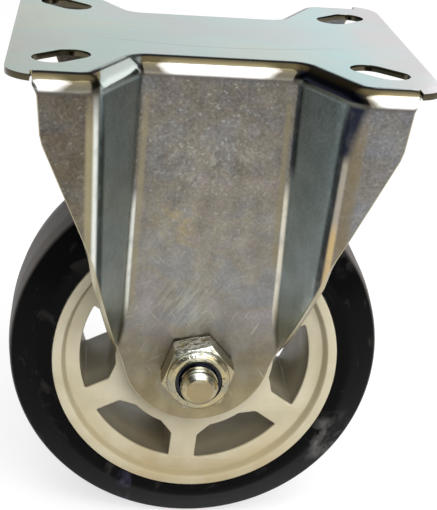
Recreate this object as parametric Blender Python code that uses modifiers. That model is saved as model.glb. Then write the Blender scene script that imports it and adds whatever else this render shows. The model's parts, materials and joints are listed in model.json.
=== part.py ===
"""Rigid castor: one pressed steel fork that carries a 4 inch wheel on a cross bolt.

Units are metres and +Z is up. The origin is the centre of the top plate's upper face.
The wheel rolls along X and its axle lies along Y, with the nut on the -Y side.
"""

import math

import bmesh
import bpy
from mathutils import Matrix, Vector

# Fits and facets
FIT = 0.0003
WELD = 0.00001
WHEEL_SEGMENTS = 64
BEARING_SEGMENTS = 28
FASTENER_SEGMENTS = 24
SHARP_ANGLE = math.radians(32)
SHARED_SIDE = 0.48
WHOLE_SIDE = 0.95

# Top plate
PLATE_LENGTH = 0.1026
PLATE_WIDTH = 0.0980
SHEET = 0.0016
EAR_CORNER_RADIUS = 0.0085
EAR_WIDTH = 0.0061
RELIEF_WIDTH = 0.0005
SLOT_WIDTH = 0.0094
SLOT_TRAVEL = 0.0066
SLOT_ANGLE = math.radians(45)
SLOT_SHIFT = 0.0003
SLOT_INSET_Y = 0.0190

# Fork legs: bends and flutes
BEND_RADIUS = 0.0048
BEND_STEPS = 5
EAR_STEPS = 6
WING_PROUD = 0.0004
WING_LEAN = math.radians(10.2)
PANEL_SPREAD = 0.0079
PANEL_HALF_WIDTH = 0.0190
FOLD_SPLAY = 0.0009
FLUTE_WALL_ANGLE = math.radians(63)
INNER_FOLD_RADIUS = 0.0030
OUTER_FOLD_TOP_RADIUS = 0.0061
OUTER_FOLD_LOW_RADIUS = 0.0045
INNER_FOLD_STEPS = 3
OUTER_FOLD_STEPS = 4
FLARE_ABOVE_AXLE = 0.0190
FLARE_HEIGHT = 0.0200
FLARE_REACH = 0.0029
FLARE_STEPS = 5
KNEE_ABOVE_AXLE = 0.0133
KNEE_ROUNDING = 0.0050

# Fork legs: outline seen from the side
TAB_TAPER = 0.0012
TAB_DROP = 0.0045
SHOULDER_NARROWING = 0.0021
SHOULDER_DROP = 0.0158
SHOULDER_RADIUS = 0.0110
WAIST_HALF_WIDTH = 0.0294
WAIST_DROP = 0.0480
WAIST_RADIUS = 0.0260
ANKLE_HALF_WIDTH = 0.0215
ANKLE_ABOVE_AXLE = 0.0043
ANKLE_RADIUS = 0.0050
TOE_RADIUS = 0.0201
TOE_CENTRE_ABOVE_AXLE = 0.0038
TOE_STEPS = 8
OUTLINE_STEPS = 3

# Axle
AXLE_DROP = 0.0853
SIDE_CLEARANCE = 0.0035
BOLT_DIAMETER = 0.0100
BOLT_PROUD = 0.0048
BOLT_TIP_CHAMFER = 0.0017
HEX_ACROSS_FLATS = 0.0170
HEX_CHAMFER_DROP = 0.0010
BOLT_HEAD_HEIGHT = 0.0064
NUT_HEIGHT = 0.0100
NUT_HEX_HEIGHT = 0.0078
NUT_COLLAR_INSET = 0.0002
NUT_LIP = 0.0005
INSERT_WALL = 0.00095
INSERT_HEIGHT = 0.0018
NUT_TURN = math.radians(18)
SPACER_WALL = 0.0024

# Wheel
WHEEL_RADIUS = 0.0508
TREAD_THICKNESS = 0.0121
HUB_WIDTH = 0.0310
RIM_STEP = 0.0025
RIM_BAND = 0.0024
RIM_CHAMFER = 0.0014
RIM_WALL = 0.0074
HUB_WALL = 0.0063
SPOKE_COUNT = 6
SPOKE_WIDTH = 0.0072
SPOKE_FIRST_ANGLE = math.radians(26.5)
WINDOW_GUSSET_RISE = 0.0027
WINDOW_GUSSET_ANGLE = math.radians(9)
WINDOW_OUTER_STEPS = 8
WINDOW_INNER_STEPS = 3
TREAD_HALF_WIDTH = 0.0128
TREAD_CROWN = 0.0006
TREAD_SHOULDER_RADIUS = 0.0020
TYRE_SIDE_INSET = 0.0003
TYRE_SIDE_STEP = 0.0030
TYRE_SIDE_RADIUS = 0.0060
BEARING_SHOULDER = 0.0023

# Bearings
BEARING_OUTSIDE = 0.0300
BEARING_WIDTH = 0.0090
BEARING_RECESS = 0.0003
BALL_DIAMETER = 0.0047625
BALL_COUNT = 8
RACE_LIP = 0.0006
SHIELD_THICKNESS = 0.0004
SHIELD_RECESS = 0.0005
SHIELD_SEAT = 0.0008
CAGE_THICKNESS = 0.0014
CAGE_RIM = 0.00045
RACE_GROOVE_STEPS = 4
POCKET_SIDES = 12
CAGE_FACETS_PER_BALL = 5

# Places that follow from the sizes above
CORE_RADIUS = WHEEL_RADIUS - TREAD_THICKNESS
HUB_HALF = HUB_WIDTH / 2
RIM_HALF = HUB_HALF + RIM_STEP
LEG_INNER = HUB_HALF + SIDE_CLEARANCE
LEG_OUTER = LEG_INNER + SHEET
TAB_HALF = PLATE_LENGTH / 2 - EAR_WIDTH - RELIEF_WIDTH
WING_TOP = PLATE_WIDTH / 2 + WING_PROUD - BEND_RADIUS
FLARE_DROP = AXLE_DROP - FLARE_ABOVE_AXLE
KNEE_DROP = AXLE_DROP - KNEE_ABOVE_AXLE
TOE_DROP = AXLE_DROP - TOE_CENTRE_ABOVE_AXLE + TOE_RADIUS
BOLT_RADIUS = BOLT_DIAMETER / 2
BORE_RADIUS = BOLT_RADIUS + FIT
HUB_RADIUS = BEARING_OUTSIDE / 2 + FIT + HUB_WALL
PITCH_RADIUS = (BOLT_DIAMETER + BEARING_OUTSIDE) / 4
BALL_RADIUS = BALL_DIAMETER / 2
BEARING_MIDDLE = HUB_HALF - BEARING_RECESS - BEARING_WIDTH / 2
HEX_VERTEX_RADIUS = HEX_ACROSS_FLATS / math.sqrt(3)
ALONG_AXLE = (-math.pi / 2, 0, 0)


def clear_scene():
    """Remove every object that the scene starts with."""
    for obj in list(bpy.data.objects):
        bpy.data.objects.remove(obj, do_unlink=True)


def make_collection(name):
    """Make a collection in the scene."""
    collection = bpy.data.collections.new(name)
    bpy.context.scene.collection.children.link(collection)
    return collection


def make_material(name, colour, roughness, metallic):
    """Make a Principled material of one colour."""
    material = bpy.data.materials.new(name)
    material.use_nodes = True
    shader = material.node_tree.nodes["Principled BSDF"]
    shader.inputs["Base Color"].default_value = (*colour, 1)
    shader.inputs["Roughness"].default_value = roughness
    shader.inputs["Metallic"].default_value = metallic
    material.diffuse_color = (*colour, 1)
    return material


def make_empty(name, location):
    """Make an empty on the axle whose local Z runs along the axle towards +Y."""
    empty = bpy.data.objects.new(name, None)
    empty.location = location
    empty.rotation_euler = ALONG_AXLE
    empty.empty_display_size = HUB_HALF
    PARTS.objects.link(empty)
    return empty


def make_object(name, mesh, material, parent=None, height=0.0, flipped=False):
    """Link a mesh as a part, at a height along its parent's local Z, upside down if flipped."""
    obj = bpy.data.objects.new(name, mesh)
    obj.parent = parent
    obj.location = (0, 0, height)
    if flipped:
        obj.rotation_euler = (math.pi, 0, 0)
    if not mesh.materials:
        mesh.materials.append(material)
    PARTS.objects.link(obj)
    return obj


def make_cutter(name, mesh, parent=None, rotation=(0, 0, 0)):
    """Link a mesh as a cutter, which shows as wires and never renders."""
    obj = bpy.data.objects.new(name, mesh)
    obj.parent = parent
    obj.rotation_euler = rotation
    obj.hide_render = True
    obj.display_type = "WIRE"
    CUTTERS.objects.link(obj)
    return obj


def combine(target, cutter, operation="DIFFERENCE"):
    """Add a Boolean modifier to the target."""
    modifier = target.modifiers.new(cutter.name, "BOOLEAN")
    modifier.operation = operation
    modifier.solver = "EXACT"
    modifier.object = cutter


def realise(obj):
    """Turn a curve, or a profile with its modifiers, into one welded mesh and drop the source."""
    CUTTERS.objects.link(obj)
    depsgraph = bpy.context.evaluated_depsgraph_get()
    mesh = bpy.data.meshes.new_from_object(obj.evaluated_get(depsgraph))
    bm = bmesh.new()
    bm.from_mesh(mesh)
    bmesh.ops.remove_doubles(bm, verts=bm.verts, dist=WELD)
    bmesh.ops.recalc_face_normals(bm, faces=bm.faces)
    bm.to_mesh(mesh)
    bm.free()
    bpy.data.objects.remove(obj, do_unlink=True)
    mesh.shade_smooth()
    mesh.set_sharp_from_angle(angle=SHARP_ANGLE)
    return mesh


def turned_mesh(profile, segments, closed=True):
    """Turn a profile of (radius, height) points, outer side first and top to bottom, round Z."""
    mesh = bpy.data.meshes.new("profile")
    count = len(profile)
    links = count if closed else count - 1
    edges = [(i, (i + 1) % count) for i in range(links)]
    mesh.from_pydata([(radius, 0, height) for radius, height in profile], edges, [])
    obj = bpy.data.objects.new("profile", mesh)
    screw = obj.modifiers.new("turn", "SCREW")
    screw.steps = segments
    screw.render_steps = segments
    screw.use_merge_vertices = True
    screw.merge_threshold = WELD
    return realise(obj)


def prism_mesh(outline, depth):
    """Extrude a flat closed outline of (x, y) points by depth, half to each side of z = 0."""
    curve = bpy.data.curves.new("outline", "CURVE")
    curve.dimensions = "2D"
    curve.fill_mode = "BOTH"
    curve.extrude = depth / 2
    spline = curve.splines.new("POLY")
    spline.points.add(len(outline) - 1)
    for point, (x, y) in zip(spline.points, outline):
        point.co = (x, y, 0, 1)
    spline.use_cyclic_u = True
    return realise(bpy.data.objects.new("outline", curve))


def merged_mesh(name, shapes):
    """Put several (create function, settings, matrix) primitives in one mesh."""
    bm = bmesh.new()
    for create, settings, matrix in shapes:
        create(bm, matrix=matrix, **settings)
    mesh = bpy.data.meshes.new(name)
    bm.to_mesh(mesh)
    bm.free()
    return mesh


def arc(centre, radius, start, end, steps):
    """Points on an arc from one angle to another, both ends included."""
    points = []
    for i in range(steps + 1):
        angle = start + (end - start) * i / steps
        points.append((centre[0] + radius * math.cos(angle), centre[1] + radius * math.sin(angle)))
    return points


def rounded_path(corners, radii, steps, last_share=SHARED_SIDE):
    """Round the inner corners of an open path and give each point with its left-hand normal.

    A corner's rounding is limited by its two sides: it may take up to half of each, and a
    stated share of the path's last one. The number of points depends only on steps, so that
    sections at different heights can be lofted.
    """
    corners = [Vector(corner) for corner in corners]
    last = len(corners) - 2
    left = [(b - a).normalized().orthogonal() for a, b in zip(corners, corners[1:])]
    path = [(corners[0], left[0])]
    for i in range(1, len(corners) - 1):
        before = corners[i] - corners[i - 1]
        after = corners[i + 1] - corners[i]
        turn = before.angle_signed(after)
        sway = math.tan(abs(turn) / 2)
        room = min(SHARED_SIDE * before.length, (last_share if i == last else SHARED_SIDE) * after.length)
        radius = min(radii[i - 1], room / sway)
        side = -1 if turn > 0 else 1
        centre = corners[i] - before.normalized() * radius * sway + left[i - 1] * radius * side
        for k in range(steps[i - 1] + 1):
            spoke = Matrix.Rotation(-turn * k / steps[i - 1], 2) @ (-left[i - 1] * side)
            path.append((centre + spoke * radius, -spoke * side))
    path.append((corners[-1], left[-1]))
    return path


def panel_face(drop):
    """Distance of the centre panel's outer face from the middle, at a drop below the plate."""
    slope = PANEL_SPREAD / KNEE_DROP
    above_knee = KNEE_DROP - drop
    if above_knee > KNEE_ROUNDING:
        return LEG_OUTER + slope * above_knee
    if above_knee < -KNEE_ROUNDING:
        return LEG_OUTER
    return LEG_OUTER + slope * (above_knee + KNEE_ROUNDING) ** 2 / (4 * KNEE_ROUNDING)


def wing_face(drop):
    """Distance of a wing's outer face from the middle, at a drop below the plate."""
    corner = WING_TOP + BEND_RADIUS * math.tan(math.pi / 4 + WING_LEAN / 2)
    return corner - math.tan(WING_LEAN) * min(drop, FLARE_DROP)


def leg_section(drop):
    """Outer face of half a leg in plan, from its middle to its edge, at a drop below the plate.

    The flat centre panel turns out into the flute's wall and back into the wing. The inner
    fold splays a little on its way down, and flares out where the flute runs off the edge.
    """
    down = drop / FLARE_DROP
    flare = min(max(drop - FLARE_DROP, 0) / FLARE_HEIGHT, 1)
    inner_x = PANEL_HALF_WIDTH + FOLD_SPLAY * down + FLARE_REACH * flare * flare
    depth = wing_face(drop) - panel_face(drop)
    outer_x = inner_x + depth / math.tan(FLUTE_WALL_ANGLE)
    corners = [(0, panel_face(drop)), (inner_x, panel_face(drop)),
               (outer_x, wing_face(drop)), (TAB_HALF, wing_face(drop))]
    outer_radius = OUTER_FOLD_TOP_RADIUS + (OUTER_FOLD_LOW_RADIUS - OUTER_FOLD_TOP_RADIUS) * min(down, 1)
    steps = (INNER_FOLD_STEPS, OUTER_FOLD_STEPS)
    return rounded_path(corners, (INNER_FOLD_RADIUS, outer_radius), steps, WHOLE_SIDE)


def leg_columns():
    """Columns of points that run from the plate's middle line over the bend and down the leg."""
    drops = [FLARE_DROP + FLARE_HEIGHT * i / FLARE_STEPS for i in range(FLARE_STEPS + 1)]
    drops.append(TOE_DROP + TOE_RADIUS / 2)
    sections = [leg_section(drop) for drop in drops]
    columns = []
    for i, (point, normal) in enumerate(leg_section(0)):
        lean = math.atan((point - sections[0][i][0]).dot(normal) / FLARE_DROP)
        start = point - normal * BEND_RADIUS * math.tan(math.pi / 4 + lean / 2)
        column = [(start.x, 0, 0)]
        for k in range(BEND_STEPS + 1):
            angle = (math.pi / 2 + lean) * k / BEND_STEPS
            place = start + normal * BEND_RADIUS * math.sin(angle)
            column.append((place.x, place.y, -BEND_RADIUS * (1 - math.cos(angle))))
        for drop, section in zip(drops, sections):
            column.append((section[i][0].x, section[i][0].y, -drop))
        columns.append(column)
    return columns


def ear_columns(bend_line):
    """Columns of points across a flat ear, which goes on past the bend to its round corner."""
    first_x = TAB_HALF + RELIEF_WIDTH
    centre = (PLATE_LENGTH / 2 - EAR_CORNER_RADIUS, PLATE_WIDTH / 2 - EAR_CORNER_RADIUS)
    reach = min(max((first_x - centre[0]) / EAR_CORNER_RADIUS, 0), 1)
    ends = arc(centre, EAR_CORNER_RADIUS, math.acos(reach), 0, EAR_STEPS)
    if first_x < centre[0] - WELD:
        ends.insert(0, (first_x, PLATE_WIDTH / 2))
    share = bend_line / ends[0][1]
    return [[(x, 0, 0), (x, y * share, 0), (x, y, 0)] for x, y in ends]


def fork_skin():
    """A quarter of the fork's outer face, lofted from column to column."""
    legs = leg_columns()
    columns = legs + ear_columns(legs[-1][1][1])
    bm = bmesh.new()
    rows = [[bm.verts.new(point) for point in column] for column in columns]
    for i in range(len(rows) - 1):
        strips = min(len(rows[i]), len(rows[i + 1])) - 1
        if i == len(legs) - 1:
            strips = 1
        for k in range(strips):
            bm.faces.new((rows[i][k], rows[i + 1][k], rows[i + 1][k + 1], rows[i][k + 1]))
    mesh = bpy.data.meshes.new("fork")
    bm.to_mesh(mesh)
    bm.free()
    return mesh


def fork_outline():
    """Side outline of plate and leg, in (x, z): plate, shoulder, waist, ankle and round toe."""
    plate_end = (PLATE_LENGTH / 2 + SHEET, SHEET)
    under_ear = -SHEET - FIT
    ankle_drop = AXLE_DROP - ANKLE_ABOVE_AXLE
    centre = (0, TOE_CENTRE_ABOVE_AXLE - AXLE_DROP)
    toe_start = -math.asin(min(TOE_CENTRE_ABOVE_AXLE / TOE_RADIUS, 1))
    toe = arc(centre, TOE_RADIUS, toe_start, -math.pi - toe_start, 2 * TOE_STEPS + 1)
    corners = [(TAB_HALF + RELIEF_WIDTH, under_ear), (TAB_HALF - TAB_TAPER, -TAB_DROP),
               (TAB_HALF - SHOULDER_NARROWING, -SHOULDER_DROP), (WAIST_HALF_WIDTH, -WAIST_DROP),
               (ANKLE_HALF_WIDTH, -ankle_drop), toe[0]]
    radii = (0.002, SHOULDER_RADIUS, WAIST_RADIUS, ANKLE_RADIUS)
    side = [tuple(point) for point, _ in rounded_path(corners, radii, [OUTLINE_STEPS] * len(radii))]
    right = [plate_end, (plate_end[0], under_ear)] + side[:-1]
    return right + toe + [(-x, z) for x, z in reversed(right)]


def slot_outline():
    """A slot with round ends, along X."""
    radius = SLOT_WIDTH / 2
    right = arc((SLOT_TRAVEL / 2, 0), radius, -math.pi / 2, math.pi / 2, 8)
    left = arc((-SLOT_TRAVEL / 2, 0), radius, math.pi / 2, math.pi * 3 / 2, 8)
    return right + left


def slot_centre():
    """Centre of a slot, in (x, y): between the plate's end and the bend of the flute's wall."""
    y = PLATE_WIDTH / 2 - SLOT_INSET_Y
    wall_x = PANEL_HALF_WIDTH + (y - panel_face(0)) / math.tan(FLUTE_WALL_ANGLE)
    bend_x = wall_x + BEND_RADIUS / math.sin(FLUTE_WALL_ANGLE)
    return (bend_x + PLATE_LENGTH / 2) / 2 + SLOT_SHIFT, y


def build_fork(material):
    """The pressed fork: skin, wall, side outline, four slots and the axle holes."""
    fork = make_object("fork", fork_skin(), material)
    mirror = fork.modifiers.new("both_ways", "MIRROR")
    mirror.use_axis = (True, True, False)
    mirror.merge_threshold = WELD
    wall = fork.modifiers.new("sheet", "SOLIDIFY")
    wall.thickness = SHEET
    wall.offset = -1
    wall.use_even_offset = True
    outline = make_cutter("fork_outline", prism_mesh(fork_outline(), 2 * PLATE_WIDTH), None, (math.pi / 2, 0, 0))
    combine(fork, outline, "INTERSECT")
    slot = prism_mesh(slot_outline(), 4 * SHEET)
    slot_x, slot_y = slot_centre()
    for side_x in (-1, 1):
        for side_y in (-1, 1):
            cutter = make_cutter(f"slot_{side_x}_{side_y}", slot, None, (0, 0, SLOT_ANGLE * side_x * side_y))
            cutter.location = (side_x * slot_x, side_y * slot_y, 0)
            combine(fork, cutter)
    drill = merged_mesh("axle_hole", [(bmesh.ops.create_cone, {
        "segments": FASTENER_SEGMENTS, "radius1": BORE_RADIUS, "radius2": BORE_RADIUS,
        "depth": PLATE_WIDTH, "cap_ends": True}, Matrix())])
    combine(fork, make_cutter("axle_hole", drill, AXLE))
    return fork


def hex_prism(name, parent, turn):
    """Cutter that gives a turned blank its six flats."""
    mesh = merged_mesh(name, [(bmesh.ops.create_cone, {
        "segments": 6, "radius1": HEX_VERTEX_RADIUS, "radius2": HEX_VERTEX_RADIUS,
        "depth": 2 * PLATE_WIDTH, "cap_ends": True}, Matrix())])
    return make_cutter(name, mesh, parent, (0, 0, turn))


def build_bolt(material):
    """Hexagon bolt whose head seats on the back leg and whose tip stands proud of the nut."""
    length = 2 * (LEG_OUTER + FIT) + NUT_HEIGHT + BOLT_PROUD
    rim = HEX_VERTEX_RADIUS + WELD
    crown = HEX_ACROSS_FLATS / 2 * 0.95
    profile = [(0, BOLT_HEAD_HEIGHT), (crown, BOLT_HEAD_HEIGHT),
               (rim, BOLT_HEAD_HEIGHT - HEX_CHAMFER_DROP), (rim, 0), (BOLT_RADIUS, 0),
               (BOLT_RADIUS, BOLT_TIP_CHAMFER - length),
               (BOLT_RADIUS - BOLT_TIP_CHAMFER, -length), (0, -length)]
    blank = turned_mesh(profile, FASTENER_SEGMENTS, closed=False)
    bolt = make_object("axle_bolt", blank, material, AXLE, LEG_OUTER + FIT)
    combine(bolt, hex_prism("bolt_flats", AXLE, 0), "INTERSECT")


def build_nut(metal, plastic):
    """Lock nut with a round collar that holds a plastic ring, both on the front leg."""
    rim = HEX_VERTEX_RADIUS + WELD
    crown = HEX_ACROSS_FLATS / 2 * 0.95
    collar = HEX_ACROSS_FLATS / 2 - NUT_COLLAR_INSET
    insert_radius = BORE_RADIUS + INSERT_WALL
    pocket = insert_radius + FIT
    pocket_top = NUT_HEIGHT - NUT_LIP
    pocket_floor = pocket_top - INSERT_HEIGHT - 2 * FIT
    profile = [(collar - 2 * NUT_LIP, NUT_HEIGHT), (collar, NUT_HEIGHT - 2 * NUT_LIP),
               (collar, NUT_HEX_HEIGHT), (rim, NUT_HEX_HEIGHT - HEX_CHAMFER_DROP),
               (rim, HEX_CHAMFER_DROP), (crown, 0), (BORE_RADIUS, 0),
               (BORE_RADIUS, pocket_floor), (pocket, pocket_floor), (pocket, pocket_top),
               (pocket - NUT_LIP, NUT_HEIGHT)]
    blank = turned_mesh(profile, FASTENER_SEGMENTS)
    nut = make_object("lock_nut", blank, metal, AXLE, -LEG_OUTER - FIT, flipped=True)
    combine(nut, hex_prism("nut_flats", AXLE, NUT_TURN), "INTERSECT")
    ring = ring_mesh(BORE_RADIUS, insert_radius, INSERT_HEIGHT, FASTENER_SEGMENTS)
    insert_middle = pocket_floor + FIT + INSERT_HEIGHT / 2
    make_object("nut_insert", ring, plastic, AXLE, -LEG_OUTER - FIT - insert_middle, flipped=True)


def ring_mesh(inner, outer, length, segments):
    """A plain tube about Z, centred on its own middle."""
    half = length / 2
    return turned_mesh([(outer, half), (outer, -half), (inner, -half), (inner, half)], segments)


def build_spacers(material):
    """Tubes that clamp the inner races: one between the bearings and one beside each leg."""
    outer = BORE_RADIUS + SPACER_WALL
    bearing_face = BEARING_MIDDLE + BEARING_WIDTH / 2
    side_length = LEG_INNER - bearing_face - 2 * FIT
    side = ring_mesh(BORE_RADIUS, outer, side_length, FASTENER_SEGMENTS)
    for name, way in (("front", -1), ("back", 1)):
        middle = way * (bearing_face + FIT + side_length / 2)
        make_object(f"side_spacer_{name}", side, material, AXLE, middle)
    middle_length = 2 * (BEARING_MIDDLE - BEARING_WIDTH / 2 - FIT)
    make_object("bearing_spacer", ring_mesh(BORE_RADIUS, outer, middle_length, FASTENER_SEGMENTS),
                material, AXLE)


def window_outline():
    """One window of the core, centred on +X: rim arc, two spoke sides, gussets and hub arc."""
    rim = CORE_RADIUS - RIM_WALL
    gusset = HUB_RADIUS + min(WINDOW_GUSSET_RISE, (rim - HUB_RADIUS) / 2)
    half = math.pi / SPOKE_COUNT
    rim_angle = half - math.asin(SPOKE_WIDTH / 2 / rim)
    gusset_angle = half - math.asin(SPOKE_WIDTH / 2 / gusset)
    hub_angle = half - math.asin(SPOKE_WIDTH / 2 / HUB_RADIUS) - WINDOW_GUSSET_ANGLE
    outer = arc((0, 0), rim, -rim_angle, rim_angle, WINDOW_OUTER_STEPS)
    upper = arc((0, 0), gusset, gusset_angle, gusset_angle, 1)[:1]
    inner = arc((0, 0), HUB_RADIUS, hub_angle, -hub_angle, WINDOW_INNER_STEPS)
    lower = [(upper[0][0], -upper[0][1])]
    return outer + upper + inner + lower


def build_core(material):
    """Moulded core: rim band, stepped face, six windows and a hub bored for two bearings."""
    seat = BEARING_OUTSIDE / 2 + FIT
    shoulder = seat - BEARING_SHOULDER
    step = BEARING_MIDDLE - BEARING_WIDTH / 2 - FIT
    band = CORE_RADIUS - RIM_BAND
    face = [(CORE_RADIUS, RIM_HALF), (band, RIM_HALF), (band - RIM_CHAMFER, HUB_HALF),
            (seat, HUB_HALF), (seat, step), (shoulder, step)]
    profile = [face[0]] + [(radius, -height) for radius, height in face] + face[:0:-1]
    core = make_object("wheel_core", turned_mesh(profile, WHEEL_SEGMENTS), material, WHEEL)
    window = prism_mesh(window_outline(), 2 * HUB_WIDTH)
    for i in range(SPOKE_COUNT):
        angle = SPOKE_FIRST_ANGLE + (i + 0.5) * math.tau / SPOKE_COUNT
        combine(core, make_cutter(f"window_{i + 1}", window, WHEEL, (0, 0, -angle)))


def build_tyre(material):
    """Solid tread: tapered sides, a rounded shoulder and a lightly crowned running face."""
    inner = CORE_RADIUS + FIT
    shoulder = WHEEL_RADIUS - TREAD_CROWN
    side = RIM_HALF - TYRE_SIDE_INSET
    corners = [(inner, side), (inner + TYRE_SIDE_STEP, side),
               (shoulder, TREAD_HALF_WIDTH), (WHEEL_RADIUS, 0)]
    radii = (TYRE_SIDE_RADIUS, TREAD_SHOULDER_RADIUS)
    half = [tuple(point) for point, _ in rounded_path(corners, radii, (2, 3))]
    profile = half + [(radius, -height) for radius, height in reversed(half[:-1])]
    make_object("tyre", turned_mesh(profile, WHEEL_SEGMENTS), material, WHEEL)


def race_groove(towards, steps):
    """Half-angle points of a ball groove, as (radius, height), top to bottom."""
    groove = BALL_RADIUS + FIT
    edge = PITCH_RADIUS + towards * (groove - RACE_LIP)
    reach = math.acos((groove - RACE_LIP) / groove)
    points = []
    for i in range(steps + 1):
        angle = reach * (1 - 2 * i / steps)
        points.append((PITCH_RADIUS + towards * groove * math.cos(angle), groove * math.sin(angle)))
    return edge, points


def build_bearing(name, way, steel, ball_steel, plastic, turning):
    """One ball bearing: inner race on the bolt, outer race in the hub, cage, balls and shields."""
    height = way * BEARING_MIDDLE
    half = BEARING_WIDTH / 2
    edge, groove = race_groove(-1, RACE_GROOVE_STEPS)
    inner = [(edge, half)] + groove + [(edge, -half), (BORE_RADIUS, -half), (BORE_RADIUS, half)]
    make_object(f"inner_race_{name}", turned_mesh(inner, BEARING_SEGMENTS), steel, AXLE, height)

    edge, groove = race_groove(1, RACE_GROOVE_STEPS)
    outside = BEARING_OUTSIDE / 2
    seat = edge + SHIELD_SEAT
    ledge = half - SHIELD_RECESS - SHIELD_THICKNESS - FIT
    outer = [(outside, half), (outside, -half), (seat, -half), (seat, -ledge), (edge, -ledge)]
    outer += groove[::-1] + [(edge, ledge), (seat, ledge), (seat, half)]
    make_object(f"outer_race_{name}", turned_mesh(outer, BEARING_SEGMENTS), steel, WHEEL, height)

    shield_inner = 2 * PITCH_RADIUS - edge + 2 * FIT
    shield = ring_mesh(shield_inner, seat - FIT, SHIELD_THICKNESS, BEARING_SEGMENTS)
    shield_height = half - SHIELD_RECESS - SHIELD_THICKNESS / 2
    for place, side in (("outer", way), ("inner", -way)):
        make_object(f"shield_{name}_{place}", shield, steel, WHEEL, height + side * shield_height)
    build_cage(name, height, ball_steel, plastic, turning)


def build_cage(name, height, ball_steel, plastic, turning):
    """Ball cage with a round pocket for each ball, and the balls in it."""
    pocket = BALL_RADIUS + FIT
    width = 2 * (pocket + CAGE_RIM)
    ring = ring_mesh(PITCH_RADIUS - CAGE_THICKNESS / 2, PITCH_RADIUS + CAGE_THICKNESS / 2,
                     width, BALL_COUNT * CAGE_FACETS_PER_BALL)
    cage = make_object(f"ball_cage_{name}", ring, plastic, turning, height)
    ball = merged_mesh("ball", [(bmesh.ops.create_icosphere, {
        "subdivisions": 2, "radius": BALL_RADIUS}, Matrix())])
    ball.shade_smooth()
    pockets = []
    for i in range(BALL_COUNT):
        angle = (i + 0.5) * math.tau / BALL_COUNT
        spot = Matrix.Rotation(angle, 4, "Z") @ Matrix.Translation((PITCH_RADIUS, 0, 0))
        pockets.append((bmesh.ops.create_cone, {
            "segments": POCKET_SIDES, "radius1": pocket, "radius2": pocket,
            "depth": 3 * CAGE_THICKNESS, "cap_ends": True}, spot @ Matrix.Rotation(math.pi / 2, 4, "Y")))
        piece = make_object(f"ball_{name}_{i + 1}", ball, ball_steel, turning, height)
        piece.location = spot.translation + Vector((0, 0, height))
    cutter = make_cutter(f"pockets_{name}", merged_mesh("pockets", pockets), turning)
    cutter.location.z = height
    combine(cage, cutter)


clear_scene()
PARTS = make_collection("rigid_castor")
CUTTERS = make_collection("rigid_castor_cutters")
AXLE = make_empty("axle_line", (0, 0, -AXLE_DROP))
WHEEL = make_empty("wheel_turning_axis", (0, 0, -AXLE_DROP))

zinc = make_material("zinc_plated_sheet", (0.55, 0.57, 0.58), 0.32, 1.0)
yellow_zinc = make_material("yellow_zinc_fastener", (0.62, 0.55, 0.38), 0.35, 1.0)
insert_plastic = make_material("insert_plastic", (0.02, 0.025, 0.05), 0.45, 0.0)
core_plastic = make_material("core_plastic", (0.72, 0.68, 0.55), 0.45, 0.0)
tread_rubber = make_material("tread_rubber", (0.012, 0.012, 0.014), 0.35, 0.0)
race_steel = make_material("race_steel", (0.6, 0.6, 0.6), 0.25, 1.0)
ball_steel = make_material("ball_steel", (0.7, 0.7, 0.7), 0.1, 1.0)
cage_plastic = make_material("cage_plastic", (0.25, 0.2, 0.12), 0.5, 0.0)

build_fork(zinc)
build_bolt(yellow_zinc)
build_nut(yellow_zinc, insert_plastic)
build_spacers(race_steel)
build_core(core_plastic)
build_tyre(tread_rubber)
for side_name, side_way in (("front", -1), ("back", 1)):
    cage_axis = make_empty(f"cage_turning_axis_{side_name}", (0, 0, -AXLE_DROP))
    build_bearing(side_name, side_way, race_steel, ball_steel, cage_plastic, cage_axis)
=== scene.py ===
"""Looks of the rigid castor: fine pressing, moulding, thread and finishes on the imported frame.

Lengths are metres in the frame's own axes. +Z is up from the plate's upper face, the wheel
rolls along X, and its axle lies along Y with the nut on the -Y side.
"""

import json
import logging
import math
from collections.abc import Callable, Sequence
from dataclasses import dataclass
from enum import Enum

import bmesh
import bpy
from mathutils import Matrix, Vector


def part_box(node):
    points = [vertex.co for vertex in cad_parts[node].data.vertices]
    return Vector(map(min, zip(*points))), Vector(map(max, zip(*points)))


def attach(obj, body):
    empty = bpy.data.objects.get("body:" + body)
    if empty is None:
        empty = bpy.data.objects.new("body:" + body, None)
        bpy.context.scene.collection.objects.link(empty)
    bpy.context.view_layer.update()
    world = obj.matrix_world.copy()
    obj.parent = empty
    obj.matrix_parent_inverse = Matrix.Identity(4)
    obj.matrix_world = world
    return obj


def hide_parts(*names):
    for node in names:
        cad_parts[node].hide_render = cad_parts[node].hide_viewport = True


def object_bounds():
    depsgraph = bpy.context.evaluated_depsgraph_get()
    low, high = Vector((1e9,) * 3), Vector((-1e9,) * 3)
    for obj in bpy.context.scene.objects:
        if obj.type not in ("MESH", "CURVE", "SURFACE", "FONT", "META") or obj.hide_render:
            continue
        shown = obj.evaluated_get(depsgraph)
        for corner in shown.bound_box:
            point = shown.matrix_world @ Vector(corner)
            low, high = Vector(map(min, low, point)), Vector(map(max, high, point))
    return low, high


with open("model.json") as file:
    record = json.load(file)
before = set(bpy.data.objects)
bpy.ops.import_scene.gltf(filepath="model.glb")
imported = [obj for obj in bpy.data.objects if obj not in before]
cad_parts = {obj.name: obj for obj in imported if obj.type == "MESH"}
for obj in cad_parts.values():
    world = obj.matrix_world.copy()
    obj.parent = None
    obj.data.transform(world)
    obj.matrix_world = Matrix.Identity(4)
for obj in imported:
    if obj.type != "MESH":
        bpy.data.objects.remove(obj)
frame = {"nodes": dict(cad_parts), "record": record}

Colour = tuple[float, float, float]
Stops = tuple[tuple[float, Colour], ...]
Point = tuple[float, float]
Span = tuple[float, ...]
Socket = bpy.types.NodeSocket
Material = bpy.types.Material
Mesh = bpy.types.Mesh
Object = bpy.types.Object

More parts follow.
